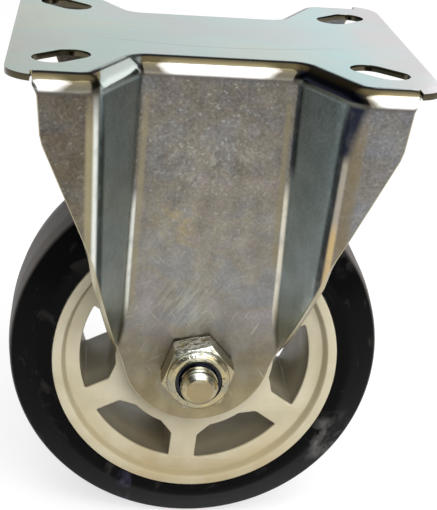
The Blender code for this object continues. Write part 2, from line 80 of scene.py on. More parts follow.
CAD_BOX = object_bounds()
AXLE = Vector(frame["record"]["behaviour"]["joints"][0]["pos_m"])
ALONG_AXLE = Matrix.Translation(AXLE) @ Matrix.Rotation(math.pi / 2, 4, "X")
WELD = 1e-6
SEAM = 0.001
SHARP_EDGE = math.radians(34)
MOST_OF_SIDE = 0.49
LOG = logging.getLogger("rigid_castor")


class Body(Enum):
    """Bodies of the frame that the pieces ride on."""

    FORK = "fork"
    WHEEL = "wheel"


class Fold(Enum):
    """Vertical folds of a leg, as the attribute that holds the distance from each."""

    INNER = "from_inner"
    OUTER = "from_outer"


def linear(red: int, green: int, blue: int) -> Colour:
    """Turn an 8-bit screen colour into the linear colour that a shader takes."""
    shares = [value / 255 for value in (red, green, blue)]
    return tuple(s / 12.92 if s <= 0.04045 else ((s + 0.055) / 1.055) ** 2.4 for s in shares)


def bands(*rows: tuple[float, int, int, int]) -> Stops:
    """Make a gradient's stops from rows of a place and an 8-bit screen colour."""
    return tuple((place, linear(*colour)) for place, *colour in rows)


def greys(*rows: Point) -> Stops:
    """Make a ramp's stops from pairs of a place and a grey."""
    return tuple((place, (grey, grey, grey)) for place, grey in rows)


class Value:
    """What a node gives, so that a finish reads as plain arithmetic."""

    def __init__(self, tree: "Tree", socket: Socket) -> None:
        """Keep a node's output and the tree that it is in."""
        self.tree = tree
        self.socket = socket

    def maths(self, operation: str, first: object, second: object = 0.0) -> "Value":
        """Add a Math node and give its result."""
        return self.tree.value("ShaderNodeMath", 0, {0: first, 1: second}, operation=operation)

    def __add__(self, other: object) -> "Value":
        """Add a value or a number."""
        return self.maths("ADD", self, other)

    def __sub__(self, other: object) -> "Value":
        """Take a value or a number away."""
        return self.maths("SUBTRACT", self, other)

    def __rsub__(self, other: float) -> "Value":
        """Take this away from a number."""
        return self.maths("SUBTRACT", other, self)

    def __mul__(self, other: object) -> "Value":
        """Multiply by a value or a number."""
        return self.maths("MULTIPLY", self, other)

    def __or__(self, other: object) -> "Value":
        """Give the larger of two values."""
        return self.maths("MAXIMUM", self, other)

    def __abs__(self) -> "Value":
        """Give the value without its sign."""
        return self.maths("ABSOLUTE", self)

    def mask(self, low: float, high: float) -> "Value":
        """Stretch the value so that low becomes 0 and high becomes 1, clamped."""
        inputs = {"Value": self, "From Min": low, "From Max": high}
        return self.tree.value("ShaderNodeMapRange", "Result", inputs, clamp=True)

    def strip(self, centre: float, half: float, soft: float = 0.6) -> "Value":
        """Give 1 in a strip of the value, falling to 0 at its edges over a soft share of its half."""
        return abs(self - centre).mask(half, half * (1 - soft))

    def ramp(self, stops: Stops) -> "Value":
        """Look the value up on a colour ramp.

        Args:
            stops: Places from 0 to 1 with their colours.

        Returns:
            The colour.
        """
        made = self.tree.node("ShaderNodeValToRGB", {"Fac": self})
        elements = made.color_ramp.elements
        while len(elements) < len(stops):
            elements.new(0.5)
        for element, (place, colour) in zip(elements, stops):
            element.position = place
            element.color = (*colour, 1)
        return Value(self.tree, made.outputs["Color"])

    def gradient(self, stops: Stops) -> "Value":
        """Look the value up on a colour ramp whose places are in the value's own unit."""
        low, high = stops[0][0], stops[-1][0]
        return self.mask(low, high).ramp(tuple(((at - low) / (high - low), c) for at, c in stops))

    def blend(self, share: object, second: object, mode: str = "MIX") -> "Value":
        """Lay a share of a second colour on this one."""
        return self.tree.blend(share, self, second, mode)

    def tint(self, share: object, pattern: "Value", stops: Stops) -> "Value":
        """Tint this colour in soft light, by a pattern's place on a ramp."""
        return self.blend(share, pattern.ramp(stops), "SOFT_LIGHT")


class Tree:
    """A node tree that grows by short calls."""

    def __init__(self, tree: bpy.types.NodeTree) -> None:
        """Take the tree to grow."""
        self.tree = tree

    def feed(self, socket: Socket, value: object) -> None:
        """Link a socket, or set its value, whichever the value asks for.

        Args:
            socket: The input.
            value: A value of a node, a number, a colour or a data block.
        """
        if isinstance(value, Value):
            self.tree.links.new(value.socket, socket)
        elif isinstance(value, tuple) and socket.type == "RGBA":
            socket.default_value = (*value, 1)
        else:
            socket.default_value = value

    def node(self, kind: str, inputs: dict[str | int, object] | None = None,
             **settings: object) -> bpy.types.Node:
        """Add a node.

        Args:
            kind: The node's type name.
            inputs: What its sockets take, by their name or number.
            settings: Its own property values.

        Returns:
            The new node.
        """
        made = self.tree.nodes.new(kind)
        for name, setting in settings.items():
            setattr(made, name, setting)
        for key, value in (inputs or {}).items():
            self.feed(made.inputs[key], value)
        return made

    def value(self, kind: str, output: str | int, inputs: dict[str | int, object] | None = None,
              **settings: object) -> Value:
        """Add a node as node() does, and give one of its outputs."""
        return Value(self, self.node(kind, inputs, **settings).outputs[output])

    def blend(self, share: object, first: object, second: object, mode: str = "MIX") -> Value:
        """Mix two colours, of which the second has the share."""
        colours = {0: share, 6: first, 7: second}
        return self.value("ShaderNodeMix", 2, colours, data_type="RGBA", blend_type=mode)


class Shader(Tree):
    """Nodes of one procedural finish, which reads the object's own coordinates."""

    def __init__(self, name: str) -> None:
        """Start a material with a Principled shader.

        Args:
            name: The finish's own name.
        """
        self.material = bpy.data.materials.new(name)
        self.material.use_nodes = True
        super().__init__(self.material.node_tree)
        self.surface = self.tree.nodes["Principled BSDF"]
        self.place = self.value("ShaderNodeTexCoord", "Object")
        parts = self.node("ShaderNodeSeparateXYZ", {0: self.place}).outputs
        self.x, self.y, self.z = (Value(self, part) for part in parts)

    def set(self, **values: object) -> None:
        """Feed the surface's sockets, named with _ for a space."""
        for name, value in values.items():
            self.feed(self.surface.inputs[name.replace("_", " ").title().replace("Ior", "IOR")], value)

    def noise(self, scale: float, detail: float = 4, stretch: Colour = (1, 1, 1),
              warp: float = 0, turn: float = 0) -> Value:
        """Add a noise pattern.

        Args:
            scale: Number of swells per metre.
            detail: Octaves of finer noise.
            stretch: Length of the swells along each turned axis.
            warp: Distortion of the swells.
            turn: Turn of the pattern about Y, in degrees.

        Returns:
            The noise, about 0.5 on average.
        """
        turned_place = {"Vector": self.place, "Scale": stretch, "Rotation": (0, math.radians(turn), 0)}
        place = self.value("ShaderNodeMapping", "Vector", turned_place, vector_type="TEXTURE")
        inputs = {"Vector": place, "Scale": scale, "Detail": detail, "Distortion": warp}
        return self.value("ShaderNodeTexNoise", "Fac", inputs)

    def round_axle(self) -> Value:
        """Give the distance from the axle's line."""
        rise = self.z - AXLE.z
        return rise.maths("SQRT", self.x * self.x + rise * rise)

    def share(self, attribute: str) -> Value:
        """Give a float attribute that the piece carries."""
        return self.value("ShaderNodeAttribute", "Fac", attribute_name=attribute)

    def relief(self, *layers: tuple[Value, float]) -> None:
        """Lay relief on the surface.

        Args:
            layers: Patterns from 0 to 1, each with its real height in metres.
        """
        under = {}
        for height, depth in layers:
            inputs = {"Height": height, "Distance": depth, **under}
            under = {"Normal": self.value("ShaderNodeBump", "Normal", inputs)}
        self.set(normal=under["Normal"])


@dataclass(frozen=True)
class Marks:
    """A patch of worn or stained marks.

    The grain is a noise's scale, detail, stretch, warp and turn. Spans are a centre, a half
    and a soft share.
    """

    grain: tuple[object, ...]
    contrast: Point
    across: Span
    height: Span
    colour: Colour
    strength: float

    def share(self, graph: Shader, height: Value) -> Value:
        """How much of the marks' colour shows.

        Args:
            graph: The finish's nodes.
            height: What the marks' height is measured by.

        Returns:
            The share.
        """
        there = graph.x.strip(*self.across) * height.strip(*self.height)
        return graph.noise(*self.grain).mask(*self.contrast) * there * self.strength


@dataclass(frozen=True)
class PaintedFoldReflection:
    """A strip of painted reflection along a fold, in its own bright, tan or dark colour.

    It runs from top to low below the plate, on the side of -X or +X. One that leans moves
    across as it goes down, and keeps off the flute's wall.
    """

    fold: Fold
    side: int
    centre: float
    half: float
    top: float
    low: float
    colour: Colour
    strength: float
    lean: float = 0.0

    def share(self, leg: "LegPlaces", patchiness: Value) -> Value:
        """How much of the painted reflection's colour shows.

        Args:
            leg: Places on the leg.
            patchiness: How patchy the painted reflection is.

        Returns:
            The share.
        """
        place = leg.inner if self.fold is Fold.INNER else leg.outer
        line = (place - leg.drop * self.lean if self.lean else place).strip(self.centre, self.half)
        if self.lean:
            line = line * (1.0 - leg.wall)
        there = leg.drop.strip((self.top + self.low) / 2, (self.low - self.top) / 2, 0.3)
        return line * there * patchiness * (leg.across.mask(0.0, 0.004 * self.side) * self.strength)


class LegPlaces:
    """Places on the fork, which its finish is laid out by."""

    def __init__(self, graph: Shader, fold: Point, walls: tuple[Point, Point]) -> None:
        """Measure a place from the plate, the middle, the folds and the flute's wall.

        Args:
            graph: The finish's nodes.
            fold: Where both flutes' walls start, from the inner fold.
            walls: Where the left and the right flute's wall end, from the outer fold.
        """
        self.drop = graph.z * -1.0
        self.across = graph.x
        self.right = graph.x.mask(-SEAM, SEAM)
        self.inner = graph.share(Fold.INNER.value)
        self.outer = graph.share(Fold.OUTER.value)
        left_wall, right_wall = (self.outer.mask(*ends) for ends in walls)
        outer_end = right_wall * self.right + left_wall * (1.0 - self.right)
        self.wall = self.inner.mask(*fold) * outer_end


@dataclass(frozen=True)
class SheetZinc:
    """Passivated zinc on pressed sheet: pale plate, painted highlights and painted reflections in the bends
    and along the folds, dull mottled legs with painted shade.

    A pair of lengths is where a part of the finish is absent and where it is whole: a foot is
    below the plate, and the other pairs are from the fold, edge, rim or middle that they name.
    """

    plate: Stops = bands(
        (-0.050, 158, 166, 157), (-0.034, 164, 180, 172), (-0.010, 172, 185, 182),
        (0.020, 184, 202, 200), (0.033, 182, 211, 213), (0.042, 200, 207, 206), (0.052, 206, 203, 205))
    # Painted reflections down the bend: a dark line, a tan band and a white painted highlight.
    bend: Stops = bands(
        (0.00002, 150, 160, 158), (0.00012, 104, 104, 100), (0.0003, 150, 138, 104), (0.0010, 206, 190, 144),
        (0.0014, 214, 212, 206), (0.0030, 206, 204, 200), (0.0040, 106, 103, 100))
    # Painted reflection where the highlight bands end short of the folds: dark, with tan near the top.
    bend_end: Stops = bands(
        (0.00002, 150, 160, 158), (0.00012, 92, 92, 88), (0.0004, 140, 126, 92), (0.0010, 132, 120, 86),
        (0.0016, 84, 78, 62), (0.0030, 80, 76, 66), (0.0040, 100, 96, 88))
    # Painted dark navy reflection in the right flute's bend, with painted tan near the top.
    bend_dark: Stops = bands(
        (0.00002, 150, 160, 158), (0.00012, 60, 62, 66), (0.0004, 112, 98, 64), (0.0010, 94, 82, 56),
        (0.0015, 38, 42, 54), (0.0031, 34, 39, 52), (0.0036, 122, 124, 114), (0.0046, 112, 116, 108))
    # Painted shade: the legs darker just below the bend and lighter lower down, with a darker band just below
    # the knee.
    leg: Stops = bands(
        (0.0040, 106, 103, 100), (0.030, 119, 115, 109), (0.055, 131, 128, 121), (0.072, 130, 128, 126),
        (0.084, 117, 110, 93), (0.104, 146, 136, 108))
    # Painted reflection on the flute walls, lighter towards the bottom.
    flute: Stops = bands(
        (0.006, 162, 173, 174), (0.050, 172, 184, 186), (0.066, 196, 205, 202), (0.090, 228, 234, 230))
    side: Stops = (
        (-0.042, (0.57, 0.53, 0.47)), (-0.026, (0.60, 0.57, 0.51)), (-0.016, (0.8, 0.8, 0.8)),
        (0.018, (0.8, 0.8, 0.8)), (0.028, (0.80, 0.82, 0.88)), (0.042, (0.86, 0.92, 1.0)))
    tints: Stops = (
        (0.34, (0.46, 0.49, 0.55)), (0.44, (0.50, 0.50, 0.50)), (0.53, (0.53, 0.50, 0.42)),
        (0.63, (0.52, 0.48, 0.50)))
    rainbow: Stops = (
        (0.36, (0.58, 0.48, 0.52)), (0.44, (0.52, 0.50, 0.50)), (0.52, (0.43, 0.56, 0.55)),
        (0.60, (0.53, 0.53, 0.45)))
    mottle: Stops = ((0.34, (0.36, 0.36, 0.35)), (0.68, (0.66, 0.66, 0.65)))
    gain: Colour = (1.25, 1.25, 1.25)
    # Painted pale reflection on the left flute's bend, mixed with the plate's colour.
    pale: Colour = linear(198, 206, 201)
    # Painted dark reflection on the ears' edges and painted shade on the slots' rims.
    rim: Colour = linear(84, 78, 62)
    cut: Colour = linear(176, 166, 138)
    speck: Colour = linear(190, 192, 186)
    die_line: Colour = linear(120, 132, 130)
    wall_fold: Point = (0.0002, 0.0010)
    walls: tuple[Point, Point] = ((-0.0006, -0.0011), (-0.0012, -0.0022))
    bend_foot: Point = (0.0046, 0.0038)
    rim_foot: Point = (0.0030, 0.0020)
    plate_foot: Point = (0.00008, 0.00001)
    sheen_foot: Point = (0.0030, 0.0044)
    cut_edge: Point = (-0.00028, -0.00018)
    ear_start: Point = (0.0449, 0.0451)
    slot_rim: Point = (0.00020, 0.00012)
    bend_middle: float = 0.0018
    marks: tuple[Marks, ...] = (
        Marks((420, 6, (1, 1, 1), 1.2), (0.50, 0.66), (-0.001, 0.017), (0.024, 0.012, 0.9),
              linear(176, 176, 168), 0.4),
        Marks((380, 5), (0.44, 0.60), (-0.008, 0.007, 0.9), (0.044, 0.010, 0.9), linear(168, 150, 106), 0.5),
        *(Marks((1700, 1, (1, 1, 14), 0, turn), (0.69, 0.76), (0.0, 1.0), (0.105, 0.075),
                linear(196, 192, 174), 0.3) for turn in (24, -38, 66)),
        Marks((1100, 2, (1, 1, 7), 0, 32), (0.46, 0.60), (-0.004, 0.011, 0.8), (0.067, 0.009, 0.8),
              linear(188, 186, 168), 0.3))
    # Painted reflections along the folds: white painted highlights, tan and dark painted reflections, and a
    # navy one that leans at the right fold's top.
    fold_reflections: tuple[PaintedFoldReflection, ...] = (
        PaintedFoldReflection(Fold.OUTER, -1, -0.0014, 0.0011, 0.003, 0.092, linear(82, 89, 85), 1.0),
        PaintedFoldReflection(Fold.OUTER, -1, 0.0000, 0.0009, 0.003, 0.068, linear(226, 230, 222), 0.95),
        PaintedFoldReflection(Fold.OUTER, -1, 0.0014, 0.0013, 0.003, 0.070, linear(158, 148, 116), 0.7),
        PaintedFoldReflection(Fold.OUTER, 1, 0.0018, 0.0022, 0.004, 0.066, linear(122, 108, 78), 0.65),
        PaintedFoldReflection(Fold.OUTER, 1, -0.0015, 0.0009, 0.004, 0.066, linear(46, 48, 50), 0.85),
        PaintedFoldReflection(Fold.OUTER, 1, -0.0003, 0.0008, 0.016, 0.040, linear(176, 168, 152), 0.75),
        PaintedFoldReflection(Fold.OUTER, 1, -0.0003, 0.0009, 0.034, 0.068, linear(214, 184, 128), 0.75),
        PaintedFoldReflection(Fold.OUTER, 1, 0.0008, 0.0030, 0.001, 0.019, linear(30, 35, 50), 0.95, -0.17),
        PaintedFoldReflection(Fold.INNER, -1, -0.0002, 0.0008, 0.034, 0.074, linear(226, 228, 220), 0.8),
        PaintedFoldReflection(Fold.INNER, -1, -0.0016, 0.0010, 0.006, 0.074, linear(142, 134, 106), 0.55),
        PaintedFoldReflection(Fold.INNER, 1, -0.0002, 0.0008, 0.030, 0.074, linear(226, 220, 202), 0.8),
        PaintedFoldReflection(Fold.INNER, 1, 0.0005, 0.0009, 0.002, 0.030, linear(34, 36, 42), 0.8),
        PaintedFoldReflection(Fold.INNER, 1, -0.0016, 0.0010, 0.006, 0.060, linear(134, 124, 92), 0.5))

    def material(self) -> Material:
        """Make the finish.

        Returns:
            The material.
        """
        graph = Shader("sheet_zinc")
        leg = LegPlaces(graph, self.wall_fold, self.walls)
        plate = self.plate_colour(graph)
        # The bend gets painted highlight bands, and the left flute's bend a painted pale reflection.
        left_wall = leg.wall * (1.0 - leg.right)
        bend = self.bend_colour(graph, leg).blend(left_wall, plate.blend(0.75, self.pale))
        body = self.leg_colour(graph, leg).blend(leg.drop.mask(*self.bend_foot), bend)
        body = body.blend(graph.share("from_edge").mask(*self.cut_edge) * 0.8, self.cut)
        # Painted dark reflection on the ears' edges and painted shade round the slots' rims.
        rim = abs(leg.across).mask(*self.ear_start) | graph.share("from_slot").mask(*self.slot_rim)
        body = body.blend(rim * leg.drop.mask(*self.rim_foot), self.rim)
        body = body.blend(leg.drop.mask(*self.plate_foot), plate)
        grain = graph.noise(520, 4)
        rough = graph.blend(leg.drop.mask(*self.sheen_foot), grain * 0.06 + 0.12, grain * 0.16 + 0.24)
        blur = leg.drop.strip(0.0042, 0.0007) * leg.wall * 0.2
        graph.set(base_color=body, metallic=1.0, roughness=rough + blur)
        graph.relief((graph.noise(120, 2), 0.00003), (graph.noise(900, 3), 0.000005))
        return graph.material

    def bend_colour(self, graph: Shader, leg: LegPlaces) -> Value:
        """Colour of the bend below the plate: painted highlight bands that fade out short of the folds, and a
        painted dark reflection in the right flute's bend.

        Args:
            graph: The finish's nodes.
            leg: Places on the leg.

        Returns:
            The colour.
        """
        # The painted highlight bands end unevenly near the folds.
        reach = graph.noise(420, 3) * 0.0016 + abs(leg.drop - self.bend_middle) * 1.2
        centre = (leg.inner + (reach + leg.right * 0.0012)).mask(-0.0018, -0.0050)
        wing = (leg.outer - (reach - leg.right * 0.0034)).mask(0.0044, 0.0078)
        body = leg.drop.gradient(self.bend_end).blend(centre | wing, leg.drop.gradient(self.bend))
        # Painted dark reflection in the right flute's bend.
        dark = leg.inner.mask(-0.0006, 0.0006) * leg.outer.mask(0.0022, 0.0004) * leg.right
        return body.blend(dark, leg.drop.gradient(self.bend_dark))

    def leg_colour(self, graph: Shader, leg: LegPlaces) -> Value:
        """Colour of the legs: painted shade bands, painted reflection on the flutes, mottle, specks, marks
        and painted reflections along the folds.

        Args:
            graph: The finish's nodes.
            leg: Places on the leg.

        Returns:
            The colour.
        """
        drop = leg.drop
        # Painted shade down the legs.
        body = drop.gradient(self.leg).blend(1.0, leg.across.gradient(self.side), "MULTIPLY")
        body = body.blend(1.0, self.gain, "MULTIPLY").tint(0.75, graph.noise(110, 5, warp=0.6), self.tints)
        # Painted reflection on the flute walls.
        body = body.blend(leg.wall, drop.gradient(self.flute))
        body = body.tint(0.8, graph.noise(180, 3), greys((0.35, 0.40), (0.65, 0.60)))
        body = body.tint(drop.mask(0.110, -0.010), graph.noise(1300, 4), self.mottle)
        body = body.tint(0.5, graph.noise(260, 3, (1, 1, 9)), greys((0.3, 0.42), (0.7, 0.6)))
        specks = graph.noise(900, 2).mask(0.60, 0.72) * drop.mask(0.070, 0.030)
        body = body.blend(specks * (leg.across.strip(-0.001, 0.017) * 0.22 + 0.16), self.speck)
        for mark in self.marks:
            body = body.blend(mark.share(graph, drop), mark.colour)
        # Painted reflections along the folds, broken up by a noise.
        patchiness = graph.noise(200, 4).mask(-0.1, 0.5)
        for fold_reflection in self.fold_reflections:
            body = body.blend(fold_reflection.share(leg, patchiness), fold_reflection.colour)
        return body

    def plate_colour(self, graph: Shader) -> Value:
        """Colour of the plate: pale, with a soft rainbow in streaks and one faint die line.

        Args:
            graph: The finish's nodes.

        Returns:
            The colour.
        """
        body = graph.x.gradient(self.plate).tint(0.8, graph.noise(32, 5, (1.6, 1, 1), 0.5), self.rainbow)
        body = body.tint(0.6, graph.noise(30, 3), greys((0.3, 0.42), (0.7, 0.58)))
        line = (graph.x * graph.x * 6.0 - graph.y).strip(0.013, 0.0006) * graph.x.strip(0.0, 0.034, 0.4)
        return body.blend(line * 0.35, self.die_line)


@dataclass(frozen=True)
class FastenerZinc:
    """Yellow passivated zinc on the turned and forged fasteners, with painted highlights on the nut's top and
    the bolt's tip, and painted shade in the thread inside the collar.

    Heights are over the axle, and depths are from the bolt's tip.
    """

    yellow: Colour = linear(178, 163, 122)
    grey: Colour = linear(146, 143, 126)
    # Painted highlight colour, for the nut's top and the bolt's tip.
    painted_highlight: Colour = linear(246, 249, 240)
    dirt: Colour = linear(60, 52, 36)
    # Painted shade in the thread inside the collar.
    painted_shade_in_collar: Colour = linear(20, 22, 32)
    face: Colour = linear(146, 130, 98)
    tip: float = -0.0357
    gouge_and_highlight_heights: Point = (0.0055, 0.0085)
    glint_heights: Point = (0.0020, 0.0034)
    glint_depths: Point = (0.0046, 0.0036)
    face_depths: Point = (0.0003, 0.0001)

    def material(self) -> Material:
        """Make the finish.

        Returns:
            The material.
        """
        graph = Shader("fastener_zinc")
        rise = graph.z - AXLE.z
        depth = graph.y - self.tip
        clouds = graph.noise(260, 4, warp=0.4)
        body = graph.blend(clouds.mask(0.35, 0.65), self.yellow, self.grey)
        body = body.blend(graph.noise(1400, 3).mask(0.62, 0.72), self.dirt)
        gouges = graph.noise(700, 4, (2.4, 1, 1), turn=30)
        # Gouges on the nut's top, where a near-white painted highlight also lies.
        marks = rise.mask(*self.gouge_and_highlight_heights) * gouges.mask(0.34, 0.54)
        # Painted shade on the thread inside the collar.
        body = body.blend(marks, self.painted_highlight).blend(graph.share("in_thread"), self.painted_shade_in_collar)
        # Painted highlight on the bolt's tip.
        glint = graph.x.strip(-0.0006, 0.0024, 0.7) * rise.mask(*self.glint_heights)
        body = body.blend(glint * depth.mask(*self.glint_depths), self.painted_highlight)
        body = body.blend(depth.mask(*self.face_depths) * 0.8, self.face)
        graph.set(base_color=body, metallic=1.0, roughness=clouds.mask(-0.3, 3.2))
        graph.relief((graph.noise(900, 3), 0.00003), (marks * gouges, 0.00035))
        return graph.material


@dataclass(frozen=True)
class MouldedPlastic:
    """Moulded plastic with faint flow clouds, a fine skin and settled dust.

    With a recess, it has painted shade in the groove, stains low down and painted shade on the walls deeper
    than that.
    """

    name: str
    colour: Colour
    cloud: Colour
    recess: float | None = None
    dust: Colour = (0.2, 0.17, 0.11)
    # Painted shade for the walls deeper than the web's face.
    painted_shade_in_recess: Colour = linear(46, 42, 32)
    stain: Colour = linear(196, 174, 128)
    shade: Colour = linear(126, 112, 80)
    groove: float = 0.0356

    def material(self) -> Material:
        """Make the finish.

        Returns:
            The material.
        """
        graph = Shader(self.name)
        clouds = graph.noise(70, 3, warp=0.5)
        body = graph.blend(clouds.mask(0.35, 0.7), self.colour, self.cloud)
        body = body.blend(graph.noise(1900, 2).mask(0.72, 0.8) * 0.35, self.dust)
        if self.recess is not None:
            # Painted shade in the groove round the rim band.
            body = body.blend(graph.round_axle().strip(self.groove, 0.0007) * 0.5, self.shade)
            low = (graph.z - AXLE.z).mask(-0.012, -0.036)
            body = body.blend(low * graph.noise(110, 4).mask(0.25, 0.65) * 0.75, self.stain)
            # Painted shade on the walls deeper than the web's face.
            depth = self.recess - abs(graph.y)
            body = body.blend(depth.mask(0.0, 0.0005) * (0.72 - depth.mask(0.001, 0.007) * 0.28), self.painted_shade_in_recess)
        graph.set(base_color=body, roughness=clouds.mask(-1.4, 2.6))
        graph.relief((graph.noise(1200, 4), 0.00002))
        return graph.material


@dataclass(frozen=True)
class TreadRubber:
    """Glossy black cast tread with a dusty, scuffed running face."""

    black: Colour = linear(5, 5, 6)
    dust: Colour = linear(140, 133, 127)
    scuff_share: float = 0.12
    marks: tuple[Marks, ...] = tuple(
        Marks((230, 5), (0.42, 0.68), across, height, linear(*colour), share)
        for across, height, colour, share in (
            ((0.0385, 0.0065), (-0.1095, 0.0100), (146, 144, 140), 0.55),
            ((0.0405, 0.0050), (-0.0520, 0.0090), (120, 118, 114), 0.35),
            ((-0.0175, 0.0022), (-0.1272, 0.0080), (104, 96, 128), 0.90)))

    def material(self) -> Material:
        """Make the finish.

        Returns:
            The material.
        """
        graph = Shader("tread")
        scuffs = graph.noise(150, 8, (1, 0.35, 1), 0.9).mask(0.60, 0.78) * self.scuff_share
        worn = graph.share("running_face") * graph.noise(60, 5).mask(-0.1, 0.9) | scuffs
        body = graph.blend(worn, self.black, self.dust)
        front = graph.y.mask(0.0, -0.002)
        for mark in self.marks:
            body = body.blend(mark.share(graph, graph.z) * front, mark.colour)
        graph.set(base_color=body, specular_ior_level=0.06, roughness=worn * 0.5 + 0.18)
        graph.relief((graph.noise(260, 4), 0.00006))
        return graph.material


@dataclass(frozen=True)
class GroundSteel:
    """Ground and polished bearing steel with fine turning marks."""

    name: str
    colour: Colour = linear(198, 198, 200)
    roughness: float = 0.14
    dull: Colour = linear(150, 150, 152)

    def material(self) -> Material:
        """Make the finish.

        Returns:
            The material.
        """
        graph = Shader(self.name)
        haze = graph.noise(180, 3)
        body = graph.blend(haze.mask(0.3, 0.8), self.colour, self.dull)
        graph.set(base_color=body, metallic=1.0, roughness=haze * 0.16 + self.roughness)
        graph.relief((graph.noise(2400, 2, (0.02, 1, 0.02)), 0.000004))
        return graph.material


def arc(centre: Point, radius: float, start: float, end: float, steps: int) -> list[Point]:
    """Points on an arc from one angle to another, both ends included."""
    angles = [start + (end - start) * i / steps for i in range(steps + 1)]
    return [(centre[0] + radius * math.cos(a), centre[1] + radius * math.sin(a)) for a in angles]


def eased(corners: Sequence[Point], radii: Sequence[float], steps: int, closed: bool = True) -> list[Point]:
    """Round the corners of a path.

    Args:
        corners: The path's corners.
        radii: Rounding of each corner, 0 for none.
        steps: Faces in each rounding.
        closed: Whether the last corner joins the first.

    Returns:
        The rounded path.
    """
    count = len(corners)
    path = []
    for i, (corner, radius) in enumerate(zip(corners, radii)):
        here = Vector(corner)
        if radius == 0 or (not closed and i in (0, count - 1)):
            path.append(tuple(here))
            continue
        back = Vector(corners[i - 1]) - here
        ahead = Vector(corners[(i + 1) % count]) - here
        turn = math.pi - back.angle(ahead)
        reach = min(radius * math.tan(turn / 2), MOST_OF_SIDE * min(back.length, ahead.length))
        first = here + back.normalized() * reach
        last = here + ahead.normalized() * reach
        for k in range(steps + 1):
            share = k / steps
            ease = (1 - share) ** 2 * first + 2 * share * (1 - share) * here + share ** 2 * last
            path.append(tuple(ease))
    return path


def linked(name: str, data: bpy.types.ID) -> Object:
    """Make an object of some data and link it to the scene."""
    obj = bpy.data.objects.new(name, data)
    bpy.context.scene.collection.objects.link(obj)
    return obj


def piece(name: str, mesh: Mesh, material: Material) -> Object:
    """Link a mesh as a smooth object with one material.

    Args:
        name: The piece's name.
        mesh: Its mesh, in place.
        material: Its finish.

    Returns:
        The object.
    """
    mesh.materials.clear()
    mesh.materials.append(material)
    mesh.shade_smooth()
    mesh.set_sharp_from_angle(angle=SHARP_EDGE)
    return linked(name, mesh)


def modify(obj: Object, kind: str, **settings: object) -> None:
    """Add a modifier to an object and set its properties."""
    made = obj.modifiers.new(kind.lower(), kind)
    for name, setting in settings.items():
        setattr(made, name, setting)


def baked(obj: Object, name: str, *cutters: Object) -> Mesh:
    """Turn an object with its modifiers into a plain mesh, and drop it and its cutters.

    Args:
        obj: The object.
        name: The mesh's name.
        cutters: Objects that its modifiers use.

    Returns:
        The mesh.
    """
    depsgraph = bpy.context.evaluated_depsgraph_get()
    mesh = bpy.data.meshes.new_from_object(obj.evaluated_get(depsgraph))
    mesh.name = name
    for done in (obj, *cutters):
        bpy.data.objects.remove(done, do_unlink=True)
    return mesh


def filled(name: str, loops: Sequence[Sequence[Point]], **settings: object) -> Mesh:
    """Fill closed loops as a flat curve and give its mesh.

    Args:
        name: The mesh's name.
        loops: The outline and its openings.
        settings: The curve's own property values.

    Returns:
        The mesh.
    """
    curve = bpy.data.curves.new(name, "CURVE")
    curve.dimensions = "2D"
    for setting, value in settings.items():
        setattr(curve, setting, value)
    for loop in loops:
        spline = curve.splines.new("POLY")
        spline.points.add(len(loop) - 1)
        for point, (x, y) in zip(spline.points, loop):
            point.co = (x, y, 0, 1)
        spline.use_cyclic_u = True
    return baked(linked(name, curve), name)


def plain(bm: bmesh.types.BMesh, name: str) -> Mesh:
    """Give the mesh and free what it was made in."""
    mesh = bpy.data.meshes.new(name)
    bm.to_mesh(mesh)
    bm.free()
    return mesh


def welded(bm: bmesh.types.BMesh, name: str) -> Mesh:
    """Weld doubles, turn the faces outwards and give the mesh."""
    bmesh.ops.remove_doubles(bm, verts=bm.verts, dist=WELD)
    bmesh.ops.recalc_face_normals(bm, faces=bm.faces)
    return plain(bm, name)


def turned(bm: bmesh.types.BMesh, profile: Sequence[Point], steps: int, closed: bool = True) -> None:
    """Turn a profile round the axle.

    Args:
        bm: Mesh that the shape is added to.
        profile: Points of (radius, place along Y).
        steps: Faces round the axle.
        closed: Whether the profile is a loop. An open one starts and ends on the axle.
    """
    rings = []
    for radius, y in profile:
        angles = [math.tau * i / steps for i in range(steps if radius > 1e-7 else 1)]
        rings.append([bm.verts.new((radius * math.cos(a), y, AXLE.z + radius * math.sin(a))) for a in angles])
    for first, second in zip(rings, rings[1:] + (rings[:1] if closed else [])):
        for i in range(steps):
            j = (i + 1) % steps
            corners = [first[i % len(first)], first[j % len(first)],
                       second[j % len(second)], second[i % len(second)]]
            bm.faces.new(list(dict.fromkeys(corners)))


def marked(mesh: Mesh, attribute: str, measure: Callable[[Vector], float]) -> None:
    """Give each point of a mesh a measured float attribute."""
    layer = mesh.attributes.new(attribute, "FLOAT", "POINT")
    for vertex, share in zip(mesh.vertices, layer.data):
        share.value = measure(vertex.co)


def across_x(node: str) -> float:
    """Half of a node's size along X."""
    low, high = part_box(node)
    return (high.x - low.x) / 2


